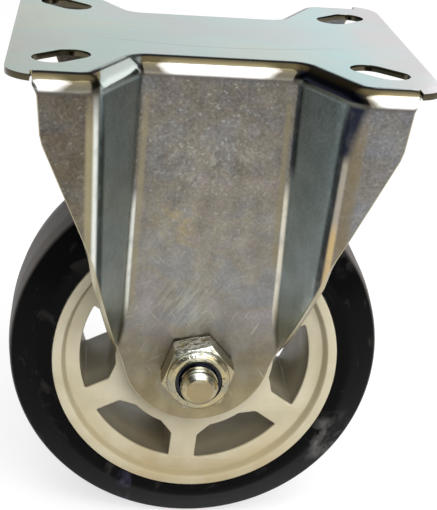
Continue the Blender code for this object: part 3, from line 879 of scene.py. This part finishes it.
@dataclass
class PressedFork:
    """Plate, bends and fluted legs of the one pressed sheet.

    A drop is a distance below the plate. The shoulder's rows are an inset from the tab's edge,
    a drop and a rounding.
    """

    sheet: float = 0.0016
    plate_half_width: float = 0.0490
    ear_corner: float = 0.0085
    ear_width: float = 0.0061
    relief: float = 0.0005
    slot_half_travel: float = 0.0033
    slot_radius: float = 0.0047
    slot_place: Point = (0.0385, 0.0300)
    slot_angle: float = math.pi / 4
    bend_radius: float = 0.0048
    wing_top: float = 0.0446
    wing_lean: float = math.radians(10.2)
    leg_outer: float = 0.0206
    panel_spread: float = 0.0079
    panel_half_width: float = 0.0190
    fold_splay: float = 0.0009
    wall_angle: float = math.radians(63)
    inner_fold: float = 0.0030
    outer_fold_top: float = 0.0080
    outer_fold_low: float = 0.0045
    flare_drop: float = 0.0663
    flare_height: float = 0.0200
    flare_reach: float = 0.0029
    knee_drop: float = 0.0720
    knee_rounding: float = 0.0050
    shoulder: tuple[tuple[float, float, float], ...] = (
        (0, 0, 0), (0, 0.0021, 0.001), (0.0012, 0.0045, 0.002), (0.0021, 0.0158, 0.011))
    waist: tuple[float, float, float] = (0.0294, 0.0480, 0.026)
    ankle: tuple[float, float, float] = (0.0215, 0.0043, 0.005)
    toe_radius: float = 0.0201
    toe_centre_drop: float = 0.0815
    hole_radius: float = 0.0053
    drill_reach: float = 0.06
    rim_rounding: float = 0.00022
    rim_angle: float = math.radians(42)
    bend_steps: int = 14
    fall_steps: int = 23
    fall_ease: float = 1.1
    flare_steps: int = 14
    side_steps: int = 8
    toe_steps: int = 14
    ear_steps: int = 10
    end_steps: int = 6
    slot_steps: int = 16
    hole_steps: int = 48
    columns: tuple[int, ...] = (5, 8, 5, 10, 6)
    fold_share: float = 0.48
    trim_margin: float = 0.0004
    weld: float = 2e-6

    def __post_init__(self) -> None:
        """Take the plate's length from the frame and work out the side outline."""
        self.half_length = across_x("fork")
        self.tab_half = self.half_length - self.ear_width - self.relief
        start = -math.asin((AXLE.z + self.toe_centre_drop) / -self.toe_radius)
        toe = arc((0, -self.toe_centre_drop), self.toe_radius, start, -math.pi / 2, self.toe_steps)
        rows = [(self.tab_half - inset, -drop, rounding) for inset, drop, rounding in self.shoulder]
        rows += [(self.waist[0], -self.waist[1], self.waist[2]),
                 (self.ankle[0], AXLE.z + self.ankle[1], self.ankle[2]), (*toe[0], 0)]
        path = eased([row[:2] for row in rows], [row[2] for row in rows], self.side_steps, closed=False)
        self.outline = path[:-1] + toe

    def half_width(self, z: float) -> float:
        """Half the leg's width at a height, from the side outline.

        Args:
            z: The height.

        Returns:
            The half width, 0 below the toe.
        """
        for (x0, z0), (x1, z1) in zip(self.outline, self.outline[1:]):
            if z1 <= z <= z0:
                return x0 + (x1 - x0) * (z0 - z) / max(z0 - z1, 1e-9)
        return self.outline[0][0] if z > 0 else 0.0

    def panel(self, drop: float) -> float:
        """Distance of the centre panel from the middle: it slopes in to the knee and then hangs.

        Args:
            drop: Distance below the plate.

        Returns:
            The distance.
        """
        slope = self.panel_spread / self.knee_drop
        above = self.knee_drop - drop
        if above > self.knee_rounding:
            return self.leg_outer + slope * above
        if above < -self.knee_rounding:
            return self.leg_outer
        return self.leg_outer + slope * (above + self.knee_rounding) ** 2 / (4 * self.knee_rounding)

    def wing(self, drop: float) -> float:
        """Distance of a wing from the middle, at a drop below the plate."""
        corner = self.wing_top + self.bend_radius * math.tan(math.pi / 4 + self.wing_lean / 2)
        return corner - math.tan(self.wing_lean) * min(drop, self.flare_drop)

    def inner_line(self, drop: float) -> float:
        """Distance of the inner fold from the leg's middle line, at a drop below the plate."""
        flare = min(max(drop - self.flare_drop, 0) / self.flare_height, 1)
        splay = self.fold_splay * drop / self.flare_drop
        return self.panel_half_width + splay + self.flare_reach * flare * flare

    def wall_run(self, drop: float) -> float:
        """Distance along X from the inner fold to the outer one, at a drop below the plate."""
        return (self.wing(drop) - self.panel(drop)) / math.tan(self.wall_angle)

    def section(self, drop: float) -> list[tuple[Vector, Vector]]:
        """Half a leg in plan, from its middle to its edge.

        Args:
            drop: Distance below the plate.

        Returns:
            Its points, each with its normal.
        """
        inner_x = self.inner_line(drop)
        outer_x = inner_x + self.wall_run(drop)
        corners = [Vector(p) for p in ((0, self.panel(drop)), (inner_x, self.panel(drop)),
                                       (outer_x, self.wing(drop)), (self.tab_half, self.wing(drop)))]
        share = min(drop / self.flare_drop, 1)
        outer_fold = self.outer_fold_top + (self.outer_fold_low - self.outer_fold_top) * share
        stations = []
        at = corners[0]
        for i, radius in ((1, self.inner_fold), (2, outer_fold)):
            straight_steps, fold_steps = self.columns[2 * i - 2:2 * i]
            before = corners[i] - corners[i - 1]
            after = corners[i + 1] - corners[i]
            turn = before.angle_signed(after)
            sway = math.tan(abs(turn) / 2)
            radius = min(radius, self.fold_share * min(before.length, after.length) / sway)
            left = before.normalized().orthogonal()
            side = -1 if turn > 0 else 1
            start = corners[i] - before.normalized() * radius * sway
            stations += self.straight(at, start, left, straight_steps)
            centre = start + left * radius * side
            for k in range(fold_steps):
                spoke = Matrix.Rotation(-turn * k / fold_steps, 2) @ (-left * side)
                stations.append((centre + spoke * radius, -spoke * side))
            at = corners[i] + after.normalized() * radius * sway
        left = (corners[3] - corners[2]).normalized().orthogonal()
        return stations + self.straight(at, corners[3], left, self.columns[4]) + [(corners[3], left)]

    @staticmethod
    def straight(start: Vector, end: Vector, normal: Vector, steps: int) -> list[tuple[Vector, Vector]]:
        """Points along a straight, without its end."""
        return [(start.lerp(end, k / steps), normal) for k in range(steps)]

    def leg_rows(self) -> list[list[Vector]]:
        """Rows of points from the bend's start down to the toe.

        Returns:
            The rows, not yet trimmed.
        """
        flare = self.section(self.flare_drop)
        rows: list[list[Vector]] = [[] for _ in range(self.bend_steps + 1)]
        for (point, normal), (low, _) in zip(self.section(0), flare):
            lean = math.atan((point - low).dot(normal) / self.flare_drop)
            start = point - normal * self.bend_radius * math.tan(math.pi / 4 + lean / 2)
            for k, row in enumerate(rows):
                angle = (math.pi / 2 + lean) * k / self.bend_steps
                place = start + normal * self.bend_radius * math.sin(angle)
                row.append(Vector((place.x, place.y, -self.bend_radius * (1 - math.cos(angle)))))
        last = rows[-1]
        for k in range(1, self.fall_steps + 1):
            share = (k / self.fall_steps) ** self.fall_ease
            rows.append([point.lerp(Vector((low.x, low.y, -self.flare_drop)), share)
                         for point, (low, _) in zip(last, flare)])
        fall = -AXLE.z - self.flare_drop
        drops = [self.flare_drop + fall * k / self.flare_steps for k in range(1, self.flare_steps + 1)]
        drops += [-z for _, z in self.outline if z < AXLE.z - 1e-5][:-1]
        return rows + [[Vector((p.x, p.y, -drop)) for p, _ in self.section(drop)] for drop in drops]

    def trimmed(self, row: list[Vector]) -> list[Vector]:
        """Bring a row's points that lie past the side outline back onto it.

        Args:
            row: Points from the leg's middle to its edge, at one height.

        Returns:
            As many points, none past the outline.
        """
        limit = self.half_width(row[-1].z)
        done = []
        for near, far in zip(row, row[1:] + row[-1:]):
            if near.x < limit - self.trim_margin or (near.x <= limit and far is near):
                done.append(near)
                continue
            before = next(p for p in reversed(row) if p.x <= limit + 1e-9)
            after = next((p for p in row if p.x > limit + 1e-9), before)
            span = after.x - before.x
            done.append(before.lerp(after, (limit - before.x) / span) if span > 1e-9 else before.copy())
        return done

    def plate_quarter(self, bend: list[Vector]) -> Mesh:
        """Fill a quarter of the flat plate, with its slot open.

        Args:
            bend: The bend's first row of points, where the plate ends.

        Returns:
            The mesh.
        """
        corner = (self.half_length - self.ear_corner, self.plate_half_width - self.ear_corner)
        first = self.tab_half + self.relief
        ear_end = math.acos((first - corner[0]) / self.ear_corner)
        ear = arc(corner, self.ear_corner, 0, ear_end, self.ear_steps)
        edge = [(self.half_length * k / self.end_steps, 0) for k in range(self.end_steps + 1)] + ear
        edge += [(first, bend[-1].y)] + [(p.x, p.y) for p in reversed(bend)]
        ends = arc((self.slot_half_travel, 0), self.slot_radius, -math.pi / 2, math.pi / 2, self.slot_steps)
        ends += [(-x, -y) for x, y in ends]
        turn = Matrix.Rotation(self.slot_angle, 2)
        slot = [turn @ Vector(p) + Vector(self.slot_place) for p in ends]
        return filled("plate", (edge, slot), fill_mode="BACK")

    def skin(self) -> Mesh:
        """A quarter of the sheet's outer face.

        Returns:
            The open mesh, its faces up and outwards.
        """
        rows = self.leg_rows()
        bm = bmesh.new()
        bm.from_mesh(self.plate_quarter(rows[0]))
        grid = [[bm.verts.new(p) for p in self.trimmed(row)] for row in rows]
        toe = bm.verts.new((0, self.leg_outer, -self.toe_centre_drop - self.toe_radius))
        grid.append([toe] * len(grid[0]))
        for upper, lower in zip(grid, grid[1:]):
            for k in range(len(upper) - 1):
                corners = [upper[k], upper[k + 1], lower[k + 1], lower[k]]
                if len(set(corners)) > 2:
                    bm.faces.new(list(dict.fromkeys(corners)))
        bmesh.ops.remove_doubles(bm, verts=bm.verts, dist=self.weld)
        bmesh.ops.dissolve_degenerate(bm, edges=bm.edges, dist=WELD)
        bmesh.ops.recalc_face_normals(bm, faces=bm.faces)
        if sum(f.normal.z * f.calc_area() for f in bm.faces) < 0:
            bmesh.ops.reverse_faces(bm, faces=bm.faces)
        return plain(bm, "fork_skin")

    def from_inner(self, at: Vector) -> float:
        """Distance of a point past the inner fold, along X."""
        return abs(at.x) - self.inner_line(max(-at.z, 0))

    def from_outer(self, at: Vector) -> float:
        """Distance of a point past the outer fold, along X."""
        return self.from_inner(at) - self.wall_run(max(-at.z, 0))

    def from_slot(self, at: Vector) -> float:
        """Distance of a point from the nearest slot's rim, in plan."""
        place = Vector((abs(at.x), abs(at.y))) - Vector(self.slot_place)
        place = Matrix.Rotation(-self.slot_angle, 2) @ place
        return math.hypot(max(abs(place.x) - self.slot_half_travel, 0), place.y) - self.slot_radius

    def from_edge(self, at: Vector) -> float:
        """Distance of a point past the leg's cut edge, along X, from just below the plate down."""
        return abs(at.x) - self.half_width(at.z) if -at.z > 2 * self.sheet else -self.sheet

    def build(self, material: Material) -> Object:
        """Make the fork and let it stand for the frame's own.

        Args:
            material: The sheet's finish.

        Returns:
            The piece.
        """
        bm = bmesh.new()
        reach, radius = self.drill_reach, self.hole_radius
        turned(bm, [(0, -reach), (radius, -reach), (radius, reach), (0, reach)], self.hole_steps, False)
        drill = linked("drill", welded(bm, "drill"))
        obj = linked("fork_skin", self.skin())
        modify(obj, "MIRROR", use_axis=(True, True, False), merge_threshold=self.weld)
        modify(obj, "SOLIDIFY", thickness=self.sheet, offset=-1, use_even_offset=True)
        modify(obj, "BOOLEAN", object=drill, solver="EXACT")
        modify(obj, "BEVEL", width=self.rim_rounding, segments=2, limit_method="ANGLE",
               angle_limit=self.rim_angle, use_clamp_overlap=True)
        mesh = baked(obj, "fork", drill)
        for measure in (self.from_inner, self.from_outer, self.from_slot, self.from_edge):
            marked(mesh, measure.__name__, measure)
        made = piece("pressed_fork", mesh, material)
        for face in made.data.polygons:
            face.use_smooth = abs(face.normal.z) < 0.99999
        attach(made, Body.FORK.value)
        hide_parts("fork")
        return made


@dataclass
class MouldedCore:
    """Cream wheel core: web with six open windows, raised rim band and bearing seats."""

    web_half: float = 0.0155
    rim_half: float = 0.0180
    rim_band: float = 0.0024
    rim_chamfer: float = 0.0014
    rim_step: float = 0.0004
    window_outer: float = 0.0313
    window_corner: float = 0.0012
    gusset_corner: float = 0.0016
    hub_radius: float = 0.0216
    spoke_width: float = 0.0072
    spoke_count: int = 6
    spoke_first: float = math.radians(26.5)
    gusset_rise: float = 0.0027
    gusset_angle: float = math.radians(9)
    edge: float = 0.00035
    seat: float = 0.0153
    seat_wall: float = 0.001
    seat_depth: float = 0.0060
    shoulder: float = 0.0130
    rim_steps: int = 192
    hub_steps: int = 96
    rim_arc_steps: int = 22
    hub_arc_steps: int = 6
    corner_steps: int = 5
    edge_steps: int = 3

    def beside_spoke(self, radius: float) -> float:
        """Angle from a window's middle to the spoke's side, at a radius."""
        return math.pi / self.spoke_count - math.asin(self.spoke_width / 2 / radius)

    def window(self) -> list[Point]:
        """One window about +X: rim arc, spoke sides, gussets and hub arc.

        Returns:
            Its outline, with eased corners.
        """
        gusset = self.hub_radius + self.gusset_rise
        rim_angle, gusset_angle = self.beside_spoke(self.window_outer), self.beside_spoke(gusset)
        hub_angle = self.beside_spoke(self.hub_radius) - self.gusset_angle
        outer = arc((0, 0), self.window_outer, -rim_angle, rim_angle, self.rim_arc_steps)
        inner = arc((0, 0), self.hub_radius, hub_angle, -hub_angle, self.hub_arc_steps)
        upper = (gusset * math.cos(gusset_angle), gusset * math.sin(gusset_angle))
        corners = outer + [upper] + inner + [(upper[0], -upper[1])]
        radii = [0.0] * len(corners)
        radii[0] = radii[len(outer) - 1] = self.window_corner
        radii[len(outer)] = radii[-1] = self.gusset_corner
        return eased(corners, radii, self.corner_steps)

    def web(self) -> Mesh:
        """The web between hub and rim, its windows cut through and every rim eased.

        Returns:
            The mesh.
        """
        loops = [arc((0, 0), radius, 0, math.tau, steps)[:-1]
                 for radius, steps in ((across_x("wheel_core") - self.rim_band, self.rim_steps),
                                       (self.seat, self.hub_steps))]
        for i in range(self.spoke_count):
            turn = Matrix.Rotation(self.spoke_first + (i + 0.5) * math.tau / self.spoke_count, 2)
            loops.append([tuple(turn @ Vector(point)) for point in self.window()])
        mesh = filled("web", loops, fill_mode="BOTH", extrude=self.web_half - self.edge,
                      bevel_depth=self.edge, bevel_resolution=2, offset=-self.edge)
        mesh.transform(ALONG_AXLE)
        return mesh

    def build(self, material: Material) -> Object:
        """Make the core and let it stand for the frame's own.

        Args:
            material: The core's finish.

        Returns:
            The piece.
        """
        outside = across_x("wheel_core")
        band = outside - self.rim_band
        half = [(outside, self.rim_half), (band, self.rim_half),
                (band - self.rim_chamfer, self.web_half - self.edge),
                (self.window_outer + self.rim_step, self.web_half - 2 * self.edge)]
        ring = [(r, -y) for r, y in half] + half[::-1]
        back = self.seat + self.seat_wall
        bm = bmesh.new()
        bm.from_mesh(self.web())
        turned(bm, eased(ring, [self.edge] * len(ring), self.edge_steps), self.rim_steps)
        turned(bm, [(back, self.seat_depth), (back, -self.seat_depth), (self.shoulder, -self.seat_depth),
                    (self.shoulder, self.seat_depth)], self.hub_steps)
        made = piece("moulded_core", welded(bm, "core"), material)
        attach(made, Body.WHEEL.value)
        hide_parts("wheel_core")
        return made


@dataclass
class CastTread:
    """Solid black tread with tapered sides, round shoulders and a crowned running face."""

    bond_width: float = 0.0030
    side_rounding: float = 0.0060
    shoulder_rounding: float = 0.0020
    crown_rounding: float = 0.02
    half_width: float = 0.0128
    crown: float = 0.0006
    inner: float = 0.0390
    side_half: float = 0.0177
    dust_fade: float = 0.0008
    corner_steps: int = 7
    steps: int = 224

    def build(self, material: Material) -> Object:
        """Make the tread and let it stand for the frame's own.

        Args:
            material: The tread's finish.

        Returns:
            The piece.
        """
        outside = across_x("tyre")
        shoulder = outside - self.crown
        corners = [(self.inner, self.side_half), (self.inner + self.bond_width, self.side_half),
                   (shoulder, self.half_width), (outside, self.half_width / 2), (outside, 0)]
        radii = (0, self.side_rounding, self.shoulder_rounding, self.crown_rounding, 0)
        half = eased(corners, radii, self.corner_steps, closed=False)
        bm = bmesh.new()
        turned(bm, half + [(r, -y) for r, y in half[-2::-1]], self.steps)
        mesh = welded(bm, "tread")
        dusty = shoulder - self.crown
        marked(mesh, "running_face", lambda at: min(max(
            (math.hypot(at.x - AXLE.x, at.z - AXLE.z) - dusty) / self.dust_fade, 0), 1))
        made = piece("cast_tread", mesh, material)
        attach(made, Body.WHEEL.value)
        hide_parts("tyre")
        return made


class Weave(Tree):
    """A geometry node tree with named inputs, which ends in realised, dressed geometry."""

    def __init__(self, name: str, **inputs: float) -> None:
        """Start an empty tree.

        Args:
            name: The tree's name.
            inputs: Its named inputs, with the sizes that they take.
        """
        super().__init__(bpy.data.node_groups.new(name, "GeometryNodeTree"))
        self.inputs = inputs
        self.tree.interface.new_socket("Geometry", in_out="OUTPUT", socket_type="NodeSocketGeometry")
        for key in inputs:
            self.tree.interface.new_socket(key, in_out="INPUT", socket_type="NodeSocketFloat")
        self.entry = self.node("NodeGroupInput")

    def input(self, name: str) -> Value:
        """Give one of the tree's named inputs."""
        return Value(self, self.entry.outputs[name])

    def mesh(self, geometry: Value, material: Material) -> Mesh:
        """End the tree, run it and give its plain mesh.

        Args:
            geometry: What the tree has made.
            material: The finish that it gets.

        Returns:
            The mesh.
        """
        realised = self.value("GeometryNodeRealizeInstances", 0, {"Geometry": geometry})
        dressed = self.value("GeometryNodeSetMaterial", 0, {"Geometry": realised, "Material": material})
        self.node("NodeGroupOutput", {"Geometry": dressed})
        obj = bpy.data.objects.new(self.tree.name, bpy.data.meshes.new(self.tree.name))
        modifier = obj.modifiers.new("plan", "NODES")
        modifier.node_group = self.tree
        for item in self.tree.interface.items_tree:
            if item.in_out == "INPUT":
                modifier[item.identifier] = self.inputs[item.name]
        bpy.context.scene.collection.objects.link(obj)
        return baked(obj, self.tree.name)


@dataclass
class CrossBolt:
    """Hexagon bolt through the legs: eased head, plain shank and a cut thread at its tip."""

    radius: float = 0.0050
    root: float = 0.0046
    pitch: float = 0.0015
    thread_length: float = 0.0220
    run_out: float = 0.0004
    chamfer: float = 0.0017
    proud: float = 0.0044
    head_height: float = 0.0064
    head_edge: float = 0.001
    across_flats: float = 0.0170
    crown: float = 0.47
    edge_steps: int = 3
    turn_steps: int = 40
    steps: int = 96

    @property
    def corner(self) -> float:
        """Distance of the hexagon's corners from the axle."""
        return self.across_flats / math.sqrt(3)

    def with_flats(self, name: str, blank: Mesh, turn: float) -> Mesh:
        """Give a turned blank its six flats.

        Args:
            name: The mesh's name.
            blank: The turned blank.
            turn: Turn of the flats about the axle.

        Returns:
            The cut mesh.
        """
        bm = bmesh.new()
        bmesh.ops.create_cone(bm, cap_ends=True, segments=6, radius1=self.corner, radius2=self.corner,
                              depth=0.2, matrix=ALONG_AXLE @ Matrix.Rotation(turn, 4, "Z"))
        prism = linked("flats", welded(bm, "flats"))
        obj = linked(name, blank)
        modify(obj, "BOOLEAN", operation="INTERSECT", object=prism, solver="EXACT")
        return baked(obj, name, prism)

    def thread(self, material: Material) -> Mesh:
        """The thread's ridge as a helix, made by geometry nodes.

        Args:
            material: The bolt's finish.

        Returns:
            The mesh.
        """
        low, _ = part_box("axle_bolt")
        first = self.chamfer * 0.6
        length = self.thread_length - first
        plan = Weave("thread", Turns=length / self.pitch, Root=self.root, Length=length,
                     Depth=self.radius - self.root)
        spiral = plan.value("GeometryNodeCurveSpiral", "Curve", {
            "Resolution": self.turn_steps, "Rotations": plan.input("Turns"), "Height": plan.input("Length"),
            "Start Radius": plan.input("Root"), "End Radius": plan.input("Root")})
        shape = plan.value("GeometryNodeCurvePrimitiveCircle", "Curve", {
            "Resolution": 3, "Radius": plan.input("Depth")})
        ridge = plan.value("GeometryNodeCurveToMesh", "Mesh", {
            "Curve": spiral, "Profile Curve": shape, "Fill Caps": True})
        mesh = plan.mesh(ridge, material)
        mesh.transform(Matrix.Translation((AXLE.x, low.y + first, AXLE.z))
                       @ Matrix.Rotation(-math.pi / 2, 4, "X"))
        return mesh

    def build(self, material: Material) -> Object:
        """Make the bolt and let it stand for the frame's own.

        Args:
            material: The bolt's finish.

        Returns:
            The piece.
        """
        low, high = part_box("axle_bolt")
        seat = high.y - self.head_height
        rim = self.corner + 1e-5
        thread_end = low.y + self.thread_length
        profile = [(0, high.y), (self.across_flats * self.crown, high.y), (rim, high.y - self.head_edge),
                   (rim, seat), (self.radius, seat), (self.radius, thread_end),
                   (self.root, thread_end - self.run_out), (self.root, low.y + self.chamfer * 0.8),
                   (self.radius - self.chamfer, low.y), (0, low.y)]
        radii = (0, 0.0006, 0.0002, 0.0001, 0.0002, 0.0001, 0.0001, 0.0003, 0.0003, 0)
        bm = bmesh.new()
        turned(bm, eased(profile, radii, self.edge_steps, closed=False), self.steps, False)
        shank = self.with_flats("bolt", welded(bm, "bolt_blank"), 0)
        bm = bmesh.new()
        bm.from_mesh(shank)
        bm.from_mesh(self.thread(material))
        mesh = welded(bm, "bolt")
        # The thread inside the collar is marked for painted shade.
        marked(mesh, "in_thread", lambda at: float(self.proud < at.y - low.y < self.thread_length))
        made = piece("cross_bolt", mesh, material)
        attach(made, Body.FORK.value)
        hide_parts("axle_bolt")
        return made


@dataclass
class LockNut(CrossBolt):
    """Hexagon lock nut with a round collar crimped over its plastic ring."""

    hex_height: float = 0.0078
    collar_inset: float = 0.0002
    lip: float = 0.0005
    pocket: float = 0.00655
    pocket_floor: float = 0.0071
    bore: float = 0.0053
    crown: float = 0.475
    turn: float = math.radians(-18)

    def build(self, material: Material) -> Object:
        """Make the nut and let it stand for the frame's own.

        Args:
            material: The nut's finish.

        Returns:
            The piece.
        """
        low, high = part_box("lock_nut")
        height = high.y - low.y
        collar = self.across_flats / 2 - self.collar_inset
        rim = self.corner + 1e-5
        profile = [(self.pocket - self.lip, height), (collar - 2 * self.lip, height),
                   (collar, height - 2 * self.lip), (collar, self.hex_height),
                   (rim, self.hex_height - self.head_edge), (rim, self.head_edge),
                   (self.across_flats * self.crown, 0), (self.bore, 0), (self.bore, self.pocket_floor),
                   (self.pocket, self.pocket_floor), (self.pocket, height - self.lip)]
        radii = (0.0002, 0.0006, 0.0008, 0.0003, 0.0001, 0.0001, 0.0002, 0.0002, 0.0001, 0.0001, 0.0003)
        bm = bmesh.new()
        turned(bm, [(r, high.y - y) for r, y in eased(profile, radii, self.edge_steps)], self.steps)
        made = piece("lock_nut_body", self.with_flats("nut", welded(bm, "nut_blank"), self.turn), material)
        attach(made, Body.FORK.value)
        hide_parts("lock_nut")
        return made


@dataclass
class Bearings:
    """Two ball bearings, their spacers and the nut's ring, which keep the frame's own shapes."""

    balls: int = 8

    def dress(self, steel: Material, polished: Material, cage: Material, insert: Material) -> None:
        """Give every carried-over node its finish.

        Args:
            steel: Races, shields and spacers.
            polished: Balls.
            cage: Ball cages.
            insert: Ring inside the nut.
        """
        plan = {"bearing_spacer": steel, "nut_insert": insert}
        for way in ("front", "back"):
            plan |= dict.fromkeys((f"side_spacer_{way}", f"inner_race_{way}", f"outer_race_{way}",
                                   f"shield_{way}_outer", f"shield_{way}_inner"), steel)
            plan[f"ball_cage_{way}"] = cage
            plan |= {f"ball_{way}_{i + 1}": polished for i in range(self.balls)}
        for node, material in plan.items():
            for slot in frame["nodes"][node].material_slots:
                slot.material = material
            LOG.info("dressed %s", node)


@dataclass
class Studio:
    """Pale floor, soft lamps and the camera at the photograph's place.

    A lamp has a name, a place, a width and height, and a radiance, where 1 is white. The room
    is greys from below to overhead.
    """

    eye: Colour = (-0.03318, -0.35154, 0.07900)
    yaw: float = 0.1109
    pitch: float = 0.3777
    roll: float = -0.0790
    focal_share: float = 1373.4 / 510
    sensor: float = 36
    near: float = 0.01
    floor_half: float = 4
    floor_grey: Colour = (0.5, 0.5, 0.5)
    floor_glow: float = 0.68
    lamps: tuple[tuple[str, Colour, Point, float], ...] = (
        ("overhead", (0.16, -0.42, 0.42), (0.72, 0.82), 2.5),
        ("behind", (0.05, 0.95, 0.25), (1.5, 0.36), 0.37),
        ("right", (0.60, 0.66, 0.32), (0.80, 0.55), 0.9))
    room: tuple[Point, ...] = ((0.0, 0.6), (0.30, 0.55), (0.42, 0.08), (0.68, 0.06), (0.84, 0.5), (1.0, 0.6))

    def camera(self) -> None:
        """Make the camera: its axes from yaw, pitch and roll, with no shift."""
        ahead = Vector((math.sin(self.yaw) * math.cos(self.pitch),
                        math.cos(self.yaw) * math.cos(self.pitch), -math.sin(self.pitch)))
        right = Vector((math.cos(self.yaw), -math.sin(self.yaw), 0))
        down = ahead.cross(right)
        across = right * math.cos(self.roll) + down * math.sin(self.roll)
        below = down * math.cos(self.roll) - right * math.sin(self.roll)
        data = bpy.data.cameras.new("camera")
        data.sensor_width = self.sensor
        data.lens = self.sensor * self.focal_share
        data.clip_start = self.near
        obj = linked("camera", data)
        turn = Matrix((across, -below, -ahead)).transposed()
        obj.matrix_world = Matrix.Translation(self.eye) @ turn.to_4x4()
        bpy.context.scene.camera = obj

    def lamp(self, name: str, place: Colour, size: Point, radiance: float) -> None:
        """Add a soft rectangular lamp that faces the plate.

        Args:
            name: The lamp's name.
            place: Its centre.
            size: Its width and height.
            radiance: Brightness of its face.
        """
        data = bpy.data.lights.new(name, "AREA")
        data.shape = "RECTANGLE"
        data.size, data.size_y = size
        data.energy = radiance * math.pi * size[0] * size[1]
        obj = linked(name, data)
        obj.location = place
        obj.rotation_euler = (-Vector(place)).to_track_quat("-Z", "Y").to_euler()

    def floor(self) -> None:
        """Add the floor, white to the camera and in reflections, with the object's shadow."""
        bm = bmesh.new()
        bmesh.ops.create_grid(bm, x_segments=1, y_segments=1, size=self.floor_half,
                              matrix=Matrix.Translation((0, 0, CAD_BOX[0].z)))
        graph = Shader("floor")
        rays = graph.node("ShaderNodeLightPath").outputs
        seen = Value(graph, rays["Is Camera Ray"]) | Value(graph, rays["Is Glossy Ray"])
        seen = seen | Value(graph, rays["Is Transmission Ray"])
        graph.set(base_color=self.floor_grey, roughness=0.9, emission_color=(1, 1, 1),
                  emission_strength=seen * self.floor_glow)
        floor = piece("floor", welded(bm, "floor"), graph.material)

    def world(self) -> None:
        """Surround the object with a plain room: pale low down, dark above and paler overhead."""
        world = bpy.data.worlds.new("room")
        world.use_nodes = True
        bpy.context.scene.world = world
        graph = Tree(world.node_tree)
        place = graph.value("ShaderNodeTexCoord", "Generated")
        height = graph.value("ShaderNodeSeparateXYZ", "Z", {0: place})
        graph.feed(graph.tree.nodes["Background"].inputs["Color"], height.ramp(greys(*self.room)))

    def build(self) -> None:
        """Set up camera, floor, room, lamps and the plain view transform."""
        self.camera()
        self.floor()
        self.world()
        for lamp in self.lamps:
            self.lamp(*lamp)
        bpy.context.scene.view_settings.view_transform = "Standard"


def main() -> None:
    """Build the studio and every sub-assembly in order."""
    logging.basicConfig(level=logging.INFO, format="%(name)s: %(message)s")
    Studio().build()
    zinc = SheetZinc().material()
    yellow = FastenerZinc().material()
    cream = MouldedPlastic("core_plastic", linear(230, 221, 193), linear(214, 203, 171), 0.0151).material()
    navy = MouldedPlastic("insert_plastic", linear(12, 15, 28), linear(8, 10, 20)).material()
    cage = MouldedPlastic("cage_plastic", linear(120, 104, 74), linear(100, 88, 60)).material()
    steel = GroundSteel("bearing_steel").material()
    polished = GroundSteel("ball_steel", linear(215, 215, 218), 0.04).material()
    makers: list[tuple[Callable[[Material], Object], Material]] = [
        (PressedFork().build, zinc), (MouldedCore().build, cream),
        (CastTread().build, TreadRubber().material()), (CrossBolt().build, yellow), (LockNut().build, yellow)]
    for build, material in makers:
        made = build(material)
        LOG.info("built %s with %d faces", made.name, len(made.data.polygons))
    Bearings().dress(steel, polished, cage, navy)


if __name__ == "__main__":
    main()
